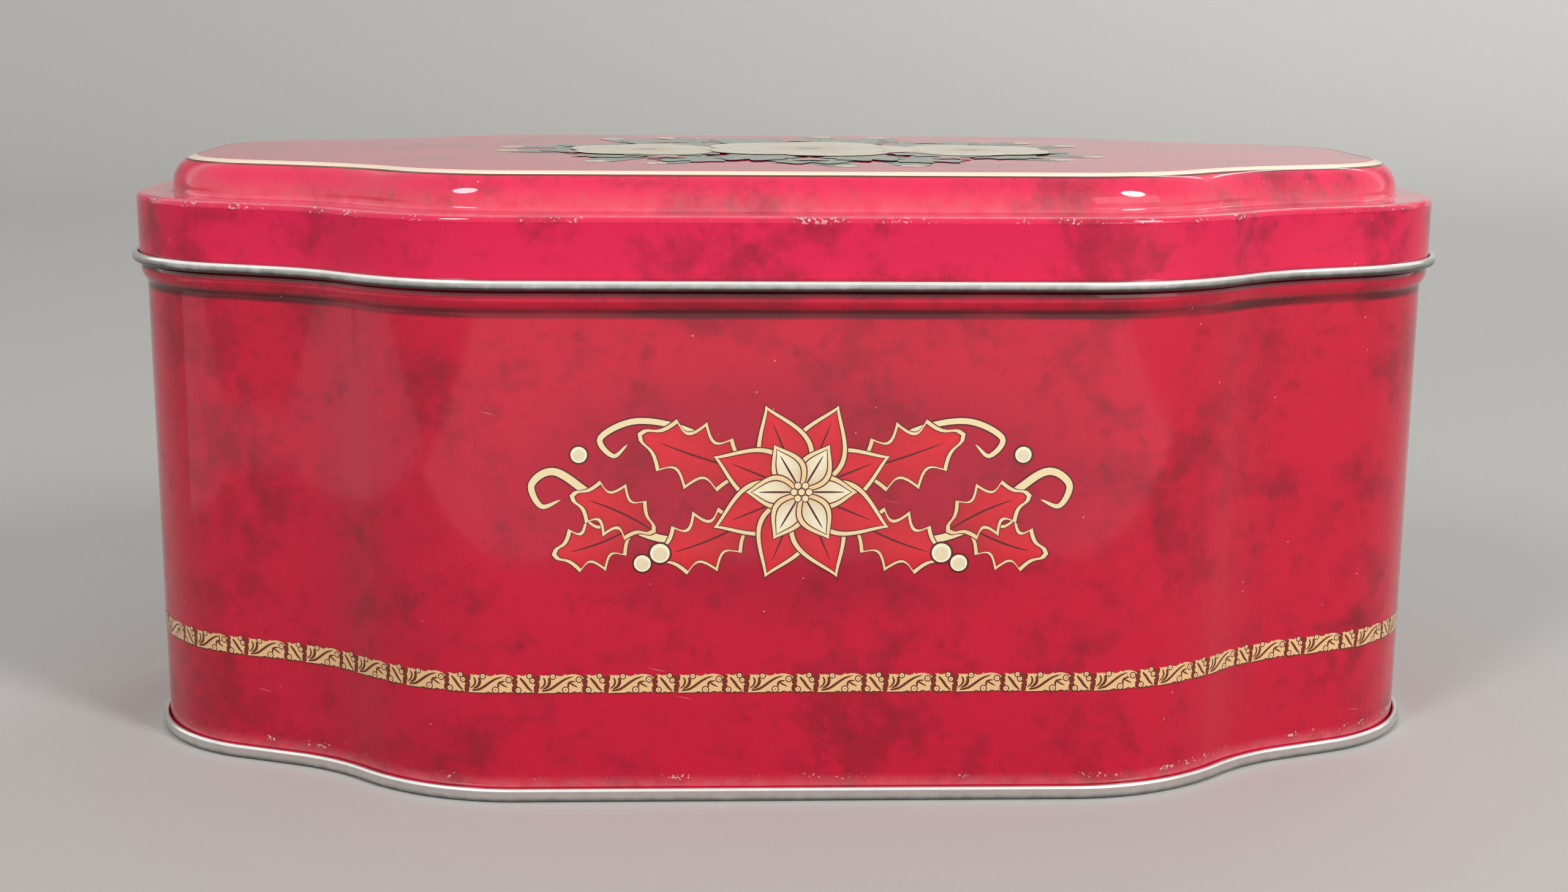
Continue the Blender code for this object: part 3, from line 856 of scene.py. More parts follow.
class TIN_OT_lid(bpy.types.Operator):
    """Make the printed lid, its bare rolled hem and its gold line"""

    bl_idname = "tin.lid"
    bl_label = "Lid"

    hem_tip_radius = 0.4 * MM
    ledge_corner = 1.0 * MM
    panel_foot_radius = 0.9 * MM
    shade_width = 0.42 * MM

    def execute(self, context):
        shape, colours = context.scene.tin_shape, context.scene.tin_colours
        skirt = shape.lid_play + HALF_SHEET
        hem_outer = shape.lid_play + shape.hem_width - HALF_SHEET
        hem_radius = (hem_outer - skirt) / 2
        hem_low = HEM_BOTTOM_Z + HALF_SHEET + hem_radius
        tip = self.hem_tip_radius
        hem_high = HEM_BOTTOM_Z + shape.hem_height - HALF_SHEET - tip
        sheet = Sheet(shape, hem_outer - 2 * tip, hem_high)
        sheet.bend(hem_outer - tip, hem_high, -math.pi)
        sheet.line(hem_outer, hem_low)
        sheet.bend(skirt + hem_radius, hem_low, -math.pi)
        sheet.carry(whole_route(shape))
        bare, inside = bare_tinplate(colours), lacquered_tinplate(colours)
        new_pressing("lid_hem", sheet, LID, bare, inside)

        corner = self.ledge_corner - HALF_SHEET
        foot_radius = self.panel_foot_radius + HALF_SHEET
        shoulder = shape.shoulder_radius - HALF_SHEET
        foot = skirt - shape.ledge_width
        ledge_z = LID_TOP_Z - shape.panel_rise - HALF_SHEET
        top_z = LID_TOP_Z - HALF_SHEET
        sheet = Sheet(shape, skirt, hem_low)
        sheet.line(skirt, ledge_z - corner)
        sheet.bend(skirt - corner, ledge_z - corner, RIGHT_ANGLE)
        sheet.line(foot + foot_radius, ledge_z)
        sheet.bend(foot + foot_radius, ledge_z + foot_radius, -RIGHT_ANGLE)
        sheet.line(foot, top_z - shoulder)
        sheet.bend(foot - shoulder, top_z - shoulder, RIGHT_ANGLE)
        sheet.line(foot - shoulder - FLAT_MARGIN, top_z)
        sheet.carry(whole_route(shape))
        sheet.close_panel(top_z)
        hem_top = HEM_BOTTOM_Z + shape.hem_height
        # Painted shade in the crease where the skirt meets the hem
        creases = [(hem_top - 0.5 * MM, hem_top + 0.1 * MM, 0.4)]
        edge, ledge = ledge_z - 0.5 * MM, (ledge_z - 0.2 * MM, 5 * MM, 0.3)
        finish = (colours, colours.lid_red, creases, edge, ledge)
        outside = marbled_print("marbled_lid_print", *finish)
        lid = new_pressing("printed_lid", sheet, LID, outside, inside)
        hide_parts("lid")
        self.make_line(context, foot - shoulder, top_z - shoulder)
        return {"FINISHED"}

    def make_line(self, context, centre_offset, centre_z):
        """The gold line on the shoulder, with a thin dark line along its outer side."""
        shape, settings = context.scene.tin_shape, context.scene.tin_print
        radius = shape.shoulder_radius + INK_LIFT
        line_turn = settings.line_width / radius
        shade_turn = self.shade_width / radius
        middle = RIGHT_ANGLE - settings.line_angle
        for name, start, turn, ink_name in (
            ("lid_gold_line", middle - line_turn / 2, line_turn, "cream_gold_ink"),
            ("lid_dark_line", middle - line_turn / 2 - shade_turn, shade_turn, "brown_ink"),
        ):
            offset = centre_offset + radius * math.cos(start)
            sheet = Sheet(shape, offset, centre_z + radius * math.sin(start))
            sheet.bend(centre_offset, centre_z, turn, step=turn / 4)
            sheet.carry(whole_route(shape))
            sheet.face_out()
            material = ink(ink_name, context.scene.tin_colours)
            new_film(name, sheet.bm, LID, material)


def arc_path(start, direction, reach, bend=0.0):
    """A path from a point in a direction, bending evenly as it goes."""
    start = Vector(start)
    along = toward(direction)
    side = Vector((-along.y, along.x))

    def path(t):
        if not bend:
            return start + along * reach * t
        forth, left = math.sin(bend * t) / bend, (1 - math.cos(bend * t)) / bend
        return start + (along * forth + side * left) * reach

    return path


def smooth_path(points):
    """A path that runs smoothly through points."""
    points = [Vector(point) for point in points]
    ends = [2 * points[0] - points[1], *points, 2 * points[-1] - points[-2]]
    samples = []
    for before, start, end, after in zip(ends, ends[1:], ends[2:], ends[3:]):
        leave, reach = start + (end - before) / 6, end - (after - start) / 6
        samples += interpolate_bezier(start, leave, reach, end, PATH_POINTS)[:-1]
    samples.append(points[-1])

    def path(t):
        place = min(max(t, 0.0), 1.0) * (len(samples) - 1)
        index = min(int(place), len(samples) - 2)
        return samples[index].lerp(samples[index + 1], place - index)

    return path


def holly(t):
    """Half width of a holly leaf along its rib: hollow edges between three spines a side."""
    return math.sin(math.pi * t) ** 0.7 * (1 - 0.42 * abs(math.sin(4 * math.pi * t)))


def bract(t):
    """Half width of a pointed bract along its rib."""
    return math.sin(math.pi * t**0.85) ** 1.15 if t < 1 else 0.0


def petal(t):
    """Half width of a round petal along its rib."""
    return math.sin(math.pi * t**1.35) ** 0.6 if t < 1 else 0.0


def tapered(t):
    """Half width of a stroke that swells from its start and thins out."""
    return math.sin(math.pi * min(1.0, 0.12 + 0.88 * t)) ** 0.5


def leaflet_shade(t, w):
    """How dark a small leaf or petal is: darkest at its foot and along its middle."""
    return 0.7 * (1 - t) * (1 - 0.5 * abs(w))


def bract_shade(t, w):
    """How dark a leaf of the sprig is: darkest at its foot, and a little towards its edges."""
    return 0.6 * (1 - t) ** 2 + 0.2 * abs(w)


def green_shade(t, w):
    """How dark a green leaf is: darkest at its foot, and along one side of its rib."""
    return 0.75 * (1 - t) ** 1.5 + (0.35 if w < 0 else 0.0) * (1 - abs(w))


def petal_folds(t, w):
    """How dark a round petal is: darkest at its foot, with folds that run out to its edge."""
    return 0.9 * (1 - t) ** 1.6 + 0.28 * math.cos(3 * math.pi * w) ** 2 * t


def even(t):
    """Half width of a stroke that is the same all along."""
    return 1.0


class Drawing:
    """Shapes of ink on a flat sheet, each a little above the one drawn before."""

    def __init__(self):
        self.inks = {}
        self.level = 0
        self.side = 1

    def side_by_side(self, drawers):
        """Lets drawers share the same levels, as their shapes lie next to each other."""
        start, highest = self.level, self.level
        for draw in drawers:
            self.level = start
            draw()
            highest = max(highest, self.level)
        self.level = highest

    def sheet(self, name):
        """The mesh of one ink, and its layer for shade."""
        if name not in self.inks:
            self.inks[name] = bmesh.new()
            self.inks[name].verts.layers.float.new("shade")
        bm = self.inks[name]
        return bm, bm.verts.layers.float["shade"]

    def stroke(self, name, path, half_width, outline, steps=24, across=2, shade=None):
        """A leaf, petal or line along a path, as wide as its outline says."""
        bm, layer = self.sheet(name)
        made = bmesh.ops.create_grid(bm, x_segments=steps, y_segments=across, size=1)["verts"]
        for vertex in made:
            t, w = (vertex.co.x + 1) / 2, vertex.co.y
            back, ahead = path(max(t - STROKE_FEEL, 0)), path(min(t + STROKE_FEEL, 1))
            run = (ahead - back).normalized()
            spot = path(t) + Vector((-run.y, run.x)) * w * half_width * outline(t)
            vertex.co = (self.side * spot.x, spot.y, self.level * INK_STEP)
            vertex[layer] = shade(t, w) if shade else 0.0
        bmesh.ops.remove_doubles(bm, verts=made, dist=MERGE_DISTANCE)
        self.level += 1

    def disc(self, name, centre, radius, segments=16, shade=0.0):
        """A round spot."""
        bm, layer = self.sheet(name)
        place = Matrix.Translation((self.side * centre[0], centre[1], self.level * INK_STEP))
        made = bmesh.ops.create_circle(
            bm, cap_ends=True, radius=radius, segments=segments, matrix=place
        )["verts"]
        for vertex in made:
            vertex[layer] = shade
        self.level += 1

    def plate(self, name, tips, grow=0.0, drop=0.0, shade=0.0):
        """A flat shape between tips, with a hollow or round edge from each to the next."""
        bm, layer = self.sheet(name)
        points = []
        for (x, y, hollow), (next_x, next_y, _) in zip(tips, tips[1:] + tips[:1]):
            start, end = Vector((x, y)), Vector((next_x, next_y))
            run = end - start
            inward = Vector((run.y, -run.x)).normalized() * hollow
            points += [start, start.lerp(end, 0.5) + inward * min(run.length, HOLLOW_REACH)]
        middle = sum(points, Vector((0, 0))) / len(points)
        made = bmesh.ops.create_circle(bm, cap_ends=True, radius=1, segments=len(points))["verts"]
        for vertex, point in zip(made, points):
            away = (point - middle).normalized() * grow
            vertex.co = (point.x + away.x, point.y + away.y - drop, self.level * INK_STEP)
            vertex[layer] = shade
        self.level += 1


def flatten_up(bm):
    """Turns the faces of a flat drawing to the same side."""
    bm.normal_update()
    bmesh.ops.reverse_faces(bm, faces=[face for face in bm.faces if face.normal.z < 0])


def cut_across(bm, x, **clear):
    """Cuts a flat drawing across, and clears one side of the cut if asked to."""
    bmesh.ops.bisect_plane(
        bm,
        geom=bm.verts[:] + bm.edges[:] + bm.faces[:],
        dist=MERGE_DISTANCE / 10,
        plane_co=(x, 0, 0),
        plane_no=(1, 0, 0),
        **clear,
    )


class TIN_OT_band(bpy.types.Operator):
    """Make the printed band of holly round the foot of the wall"""

    bl_idname = "tin.band"
    bl_label = "Holly band"

    tile = 10.97 * MM
    slice_width = 0.72 * MM
    narrow_start = 7.49
    vein_swell = 2.5 * MM
    bare_margins = (1.4 * MM, 2.8 * MM)
    plate_rim = 0.17 * MM
    plate_shadow = 0.1 * MM
    berry_rim = 0.18

    # Both gaps between plates: from and to in mm, and the middle of their height
    gaps = ((6.9, 7.7), (10.3, 11.2))
    gap_middle = 1.45
    gap_half_height = 1.3 * MM

    # Tips of the two plates in mm, each with how hollow its edge is up to the next
    wide_tips = (
        (0.00, 0.00, 0.10), (0.12, 0.72, 0.20), (0.24, 1.30, 0.20), (0.10, 1.84, 0.20),
        (0.36, 2.38, 0.20), (0.22, 3.00, 0.14), (0.78, 2.86, 0.18), (1.22, 2.93, 0.18),
        (1.72, 2.86, 0.26), (2.95, 2.88, 0.14), (3.42, 2.74, 0.18), (3.86, 2.80, 0.22),
        (4.30, 3.13, 0.22), (4.66, 2.92, -0.10), (5.90, 3.03, -0.16), (7.22, 2.46, 0.20),
        (6.98, 1.92, 0.16), (7.12, 1.22, 0.22), (6.90, 0.66, 0.16), (7.10, 0.02, 0.26),
        (6.28, 0.10, 0.30), (5.12, 0.06, 0.10), (3.86, 0.06, 0.26), (2.62, 0.04, 0.02),
    )
    narrow_tips = (
        (0.02, 0.02, 0.10), (0.05, 0.62, 0.12), (0.30, 1.02, 0.24), (0.10, 1.40, 0.24),
        (0.32, 1.82, 0.24), (0.12, 2.22, 0.20), (0.34, 2.60, 0.16), (0.00, 3.02, 0.12),
        (0.62, 2.98, 0.20), (1.18, 2.84, 0.20), (1.62, 3.02, 0.16), (2.06, 2.52, 0.14),
        (2.56, 2.30, 0.14), (2.80, 1.70, 0.20), (3.10, 1.36, 0.24), (2.86, 0.78, 0.12),
        (2.92, 0.04, 0.24), (1.90, 0.06, 0.24), (1.02, 0.04, 0.10),
    )

    # Width in mm before it swells, and points in mm
    veins = (
        (0.13, ((0.88, 2.46), (1.13, 1.86), (0.92, 1.18), (0.18, 0.56))),
        (0.20, ((1.70, 2.42), (1.86, 1.93), (1.72, 1.36), (1.38, 0.94), (0.64, 0.56))),
        (0.16, ((0.62, 0.34), (1.90, 0.60), (3.15, 1.48), (4.40, 2.30), (5.72, 2.72))),
        (0.14, ((4.80, 0.94), (4.78, 1.46), (5.16, 1.80), (5.96, 1.88))),
        (0.11, ((4.98, 1.64), (5.50, 1.32), (6.30, 0.90))),
        (0.17, ((8.20, 2.46), (8.83, 1.72), (9.46, 0.84), (10.18, 0.22))),
    )

    # Middle and radius in mm
    berries = (
        (2.34, 2.68, 0.36), (6.46, 2.16, 0.38), (4.34, 0.50, 0.42), (9.68, 2.78, 0.34),
        (10.12, 2.04, 0.34), (7.88, 0.48, 0.38),
    )

    def execute(self, context):
        settings = context.scene.tin_print
        outline = Outline(context.scene.tin_shape)
        drawing = self.draw_tile()
        stretch = settings.band_pitch / self.tile
        half = outline.length / 2
        ends = [side * half - margin for side, margin in zip((-1, 1), self.bare_margins)]
        cuts = [(end - settings.band_start) / stretch for end in ends]
        repeats = range(math.floor(cuts[0] / self.tile), math.ceil(cuts[1] / self.tile))
        for name, bm in drawing.inks.items():
            flatten_up(bm)
            for index in range(1, math.ceil(self.tile / self.slice_width)):
                cut_across(bm, index * self.slice_width)
            tile = bm.verts[:] + bm.edges[:] + bm.faces[:]
            for repeat in repeats:
                if repeat:
                    copy = bmesh.ops.duplicate(bm, geom=tile)["geom"]
                    moved = [part for part in copy if isinstance(part, bmesh.types.BMVert)]
                    bmesh.ops.translate(bm, vec=(repeat * self.tile, 0, 0), verts=moved)
            cut_across(bm, cuts[0], clear_inner=True)
            cut_across(bm, cuts[1], clear_outer=True)
            for vertex in bm.verts:
                point, out = outline.at(settings.band_start + stretch * vertex.co.x)
                height = settings.band_bottom + vertex.co.y
                vertex.co = point + out * (INK_LIFT + vertex.co.z) + Vector((0, 0, height))
            material = ink(name + "_ink", context.scene.tin_colours)
            new_film("holly_band_" + name, bm, BODY, material)
        return {"FINISHED"}

    def draw_tile(self):
        """One pair of plates with their veins and berries."""
        drawing = Drawing()
        wide = [(x * MM, y * MM, hollow) for x, y, hollow in self.wide_tips]
        narrow = [
            ((x + self.narrow_start) * MM, y * MM, hollow) for x, y, hollow in self.narrow_tips
        ]
        for start, end in self.gaps:
            path = arc_path((start * MM, self.gap_middle * MM), 0, (end - start) * MM)
            drawing.stroke("gap", path, self.gap_half_height, even, steps=2, across=1)
        for tips in (wide, narrow):
            drawing.plate("brown", tips, grow=self.plate_rim, drop=self.plate_shadow)
            drawing.plate("gold", tips)
        for width, points in self.veins:
            path = smooth_path(mm(points))
            drawing.stroke("brown", path, width * self.vein_swell / 2, tapered, steps=8, across=1)
        for x, y, radius in self.berries:
            centre = (x * MM, y * MM)
            drawing.disc("brown", centre, (radius + self.berry_rim) * MM, segments=12)
            drawing.disc("gold", centre, radius * MM, segments=12, shade=0.6)
            drawing.disc("berry", centre, radius * 0.5 * MM, segments=8)
        return drawing


def berry(drawing, centre, radius, fill, rim, glint):
    """A berry with a rim and a glint."""
    x, y = centre
    drawing.disc(rim, centre, radius * 1.22, segments=24)
    drawing.disc(fill, centre, radius, segments=24)
    drawing.disc(fill, (x, y - 0.1 * radius), radius * 0.72, segments=20, shade=0.35)
    drawing.disc(glint, (x - 0.3 * radius, y + 0.35 * radius), radius * 0.2, segments=10)


def leaf_layers(drawing, layers, start, direction, reach, half_width, outline, bend=0.0):
    """A leaf in layers, each with its ink, how far it stands out, its rows and its shade."""
    for name, grow, across, shade in layers:
        back = toward(direction) * grow
        path = arc_path(Vector(start) - back, direction, reach + 2 * grow, bend)
        width = half_width + grow
        drawing.stroke(name, path, width, outline, steps=32, across=across, shade=shade)


def lay_inks(drawing, name, place, body, colours, special):
    """Lays each ink of a flat drawing on a pressing, as a film of its own.

    An ink of the drawing is the material of that name, unless special names another for it.
    """
    for key, bm in drawing.inks.items():
        flatten_up(bm)
        bmesh.ops.transform(bm, matrix=place, verts=bm.verts)
        material = ink(special.get(key, key + "_ink"), colours)
        new_film(name + key, bm, body, material)


class TIN_OT_sprig(bpy.types.Operator):
    """Make the printed sprig on the front"""

    bl_idname = "tin.sprig"
    bl_label = "Front sprig"

    outline_width = 0.9 * MM
    shade_width = 0.22 * MM
    rib_width = 0.16 * MM
    rib_share = 0.86
    bead_ring = 1.15 * MM
    bead_radius = 0.48 * MM
    bead_rim = 0.62 * MM

    # Points in mm
    stem = (
        (4, -3), (14, -7.5), (24, -6.5), (32, -0.5),
        (37.5, 3.2), (41, 1.2), (39.6, -2.2), (36.6, -1.2),
    )
    tendril = ((10, 5), (17, 9.5), (25, 11), (30.5, 8.4), (28.6, 5.6), (26.4, 7.4))

    # Foot in mm, direction in degrees, length and half width in mm and bend in degrees
    leaves = (
        (26, -5.6, -32, 12, 3.6, 24),
        (23, -5.8, 34, 12.5, 3.6, -20),
        (8, -4.4, -32, 15, 4.2, 20),
        (8, 3.2, 14, 17, 4.6, 10),
    )
    berries = ((21.6, -9.6, 1.5), (24.3, -11.2, 1.3), (33.8, 5.8, 1.25))

    def execute(self, context):
        settings = context.scene.tin_print
        drawing = Drawing()
        for side in (-1, 1):
            drawing.side = side
            self.draw_half(drawing)
        drawing.side = 1
        self.draw_star(drawing)
        depth = -context.scene.tin_shape.depth / 2 - INK_LIFT
        place = Matrix.Translation((settings.sprig_x, depth, settings.sprig_z))
        upright = place @ Matrix.Rotation(RIGHT_ANGLE, 4, "X")
        colours, special = context.scene.tin_colours, {"gold": "pale_gold_ink"}
        lay_inks(drawing, "front_sprig_", upright, BODY, colours, special)
        return {"FINISHED"}

    def leaf(self, drawing, start, degrees, reach, half_width, outline, bend=0.0, fill="scarlet"):
        """A leaf edged in gold, with a fine dark line inside the gold and a rib."""
        direction, turn = math.radians(degrees), math.radians(bend)
        layers = (
            ("dark", self.outline_width + self.shade_width, 4, bract_shade),
            ("gold", self.outline_width, 4, bract_shade),
            ("dark", self.shade_width, 4, bract_shade),
            (fill, 0.0, 4, bract_shade),
        )
        leaf_layers(drawing, layers, start, direction, reach, half_width, outline, turn)
        rib = arc_path(start, direction, reach * self.rib_share, turn * self.rib_share)
        drawing.stroke("dark", rib, self.rib_width, tapered, steps=12, across=1)

    def draw_half(self, drawing):
        """Stems, leaves and berries of one side."""
        for points, steps, dark, gold in (
            (self.stem, 48, 0.85, 0.6),
            (self.tendril, 40, 0.68, 0.45),
        ):
            path = smooth_path(mm(points))
            drawing.stroke("dark", path, dark * MM, tapered, steps=steps, across=1)
            drawing.stroke("gold", path, gold * MM, tapered, steps=steps, across=1)
        for x, y, degrees, reach, half_width, bend in self.leaves:
            place = (x * MM, y * MM)
            self.leaf(drawing, place, degrees, reach * MM, half_width * MM, holly, bend=bend)
        for x, y, radius in self.berries:
            berry(drawing, (x * MM, y * MM), radius * MM, "cream", "dark", "gold")

    def draw_star(self, drawing):
        """The flower in the middle: pointed bracts, cream ones inside, and gold beads."""
        for count, first, reach, half_width, fill in (
            (8, 22.5, 12.6, 3.4, "scarlet"),
            (6, 0, 6.6, 1.7, "cream"),
        ):
            for index in range(count):
                turn = first + index * 360 / count
                start = toward(math.radians(turn)) * MM
                self.leaf(drawing, start, turn, reach * MM, half_width * MM, bract, fill=fill)
        for index in range(7):
            centre = toward(math.radians(index * 60)) * (self.bead_ring if index < 6 else 0)
            drawing.disc("dark", centre, self.bead_rim, segments=14)
            drawing.disc("gold", centre, self.bead_radius, segments=14)


class TIN_OT_bunch(bpy.types.Operator):
    """Make the printed bunch of winter flowers on the lid"""

    bl_idname = "tin.bunch"
    bl_label = "Lid flowers"

    # Half widths and half depths in mm of the ovals that sprays, leaves and berries stand on
    spray_oval = (26, 13)
    leaf_oval = (42, 26)
    berry_oval = (40, 25)

    # Middle and radius in mm and turn in degrees
    roses = ((-27, -2, 13.5, 10), (29, -1, 13.5, 40), (1, 1, 18, 0))

    leaf_edge = 0.35 * MM
    petal_edge = 0.3 * MM
    rib_width = 0.16 * MM
    twig_length = 26 * MM
    berry_radius = 1.4 * MM
    sprays = 14
    stamens = 14

    def execute(self, context):
        settings = context.scene.tin_print
        drawing = Drawing()
        self.draw_sprays(drawing)
        self.draw_leaves(drawing)
        self.draw_berries(drawing)
        for x, y, radius, turn in self.roses:
            self.draw_rose(drawing, Vector((x * MM, y * MM)), radius * MM, turn)
        place = Matrix.Translation((settings.bunch_x, settings.bunch_y, LID_TOP_Z + INK_LIFT))
        colours = context.scene.tin_colours
        special = {"green_dark": "dark_green_ink", "shade": "petal_shade_ink"}
        lay_inks(drawing, "lid_bunch_", place, LID, colours, special)
        return {"FINISHED"}

    def on_oval(self, oval, around):
        """A point in mm on an oval."""
        return oval[0] * math.cos(around), oval[1] * math.sin(around)

    def leaf(self, drawing, start, degrees, reach, half_width):
        """A dark-edged holly leaf with its rib."""
        direction = math.radians(degrees)
        layers = (("green_dark", self.leaf_edge, 4, None), ("green", 0.0, 6, green_shade))
        leaf_layers(drawing, layers, start, direction, reach, half_width, holly)
        rib = arc_path(start, direction, reach * 0.9)
        drawing.stroke("gold", rib, self.rib_width, tapered, steps=10, across=1)

    def draw_sprays(self, drawing):
        """Sprays of small leaves that stand out all round, with pale blossoms at their tips."""
        drawing.side_by_side(
            partial(self.draw_spray, drawing, 2 * math.pi * (index + 0.5) / self.sprays, lean)
            for index, lean in enumerate((0.4, -0.4) * (self.sprays // 2))
        )

    def draw_spray(self, drawing, around, lean):
        """A spray that bends a little to one side."""
        start = Vector(self.on_oval(self.spray_oval, around)) * MM
        direction = math.atan2(1.25 * math.sin(around), math.cos(around))
        twig = arc_path(start, direction, self.twig_length, lean)
        drawing.stroke("gold", twig, 0.4 * MM, tapered, steps=12, across=1)
        for side in (-1, 1):
            for index in range(4, 9):
                t = index / 9.5
                aim = direction + lean * t + side * 0.85
                path = arc_path(twig(t), aim, (8 - 4 * t) * MM, -0.5 * side)
                drawing.stroke("green_dark", path, 1.5 * MM, bract, steps=10)
                drawing.stroke("green", path, 1.2 * MM, bract, steps=10, shade=leaflet_shade)
        for index in range(5):
            path = arc_path(twig(1), direction + 2 * math.pi * index / 5, 2.3 * MM)
            drawing.stroke("cream", path, 0.9 * MM, petal, steps=6, shade=leaflet_shade)
        drawing.disc("gold", twig(1), 0.55 * MM, segments=10)

    def draw_leaves(self, drawing):
        """An oval wreath of leaves, two rows deep, that lean to and fro."""
        for count, ring, reach, half_width, offset in (
            (26, 0.74, 15, 4.6, 0),
            (20, 0.46, 17, 4.9, 9),
        ):
            for index in range(count):
                around = 2 * math.pi * index / count + math.radians(offset)
                x, y = self.on_oval([ring * half for half in self.leaf_oval], around)
                out = math.degrees(math.atan2(y / self.leaf_oval[1], x / self.leaf_oval[0]))
                out += 12 if index % 2 else -12
                start = Vector((x * MM, y * MM))
                self.leaf(drawing, start, out, reach * MM, half_width * MM)

    def draw_berries(self, drawing):
        """Berries in threes round the wreath."""
        arounds = [2 * math.pi * (index + 0.5) / 10 for index in range(10)]
        middles = [self.on_oval(self.berry_oval, around) for around in arounds]
        for step_x, step_y in ((0, 1.5), (-1.6, -0.9), (1.6, -0.9)):
            centres = [((x + step_x) * MM, (y + step_y) * MM) for x, y in middles]
            drawing.side_by_side(
                partial(berry, drawing, centre, self.berry_radius, "scarlet", "dark", "cream")
                for centre in centres
            )

    def draw_rose(self, drawing, centre, radius, turn):
        """A winter rose: ten shaded petals in two rows round a crown of gold stamens."""
        for count, reach, spread, offset in ((5, 1.0, 0.52, 0), (5, 0.72, 0.40, 36)):
            for index in range(count):
                direction = math.radians(turn + offset + index * 360 / count)
                start = centre + toward(direction) * 0.06 * radius
                for name, grow, across, shade in (
                    ("shade", self.petal_edge, 4, None),
                    ("cream", 0.0, 10, petal_folds),
                ):
                    path = arc_path(start, direction, reach * radius + grow)
                    width = spread * radius + grow
                    drawing.stroke(name, path, width, petal, across=across, shade=shade)
        drawing.side_by_side(
            partial(self.draw_stamen, drawing, centre, radius, index)
            for index in range(self.stamens)
        )
        drawing.disc("green", centre, 0.1 * radius, segments=16)

    def draw_stamen(self, drawing, centre, radius, index):
        """A stamen with its gold tip."""
        direction = 2 * math.pi * index / self.stamens
        reach = radius * (0.24 if index % 2 else 0.19)
        path = arc_path(centre, direction, reach)
        drawing.stroke("shade", path, 0.12 * MM, even, steps=2, across=1)
        drawing.disc("gold", centre + toward(direction) * reach, 0.032 * radius, segments=8)


# The camera, from a fit to the box's outlines in the photograph
CAMERA_PLACE = Vector((-0.0135, -0.3708, 0.12166))
CAMERA_YAW = 0.0357
CAMERA_PITCH = 0.2029
CAMERA_ROLL = -0.00696
CAMERA_LENS = 48.82
SENSOR_WIDTH = 36.0


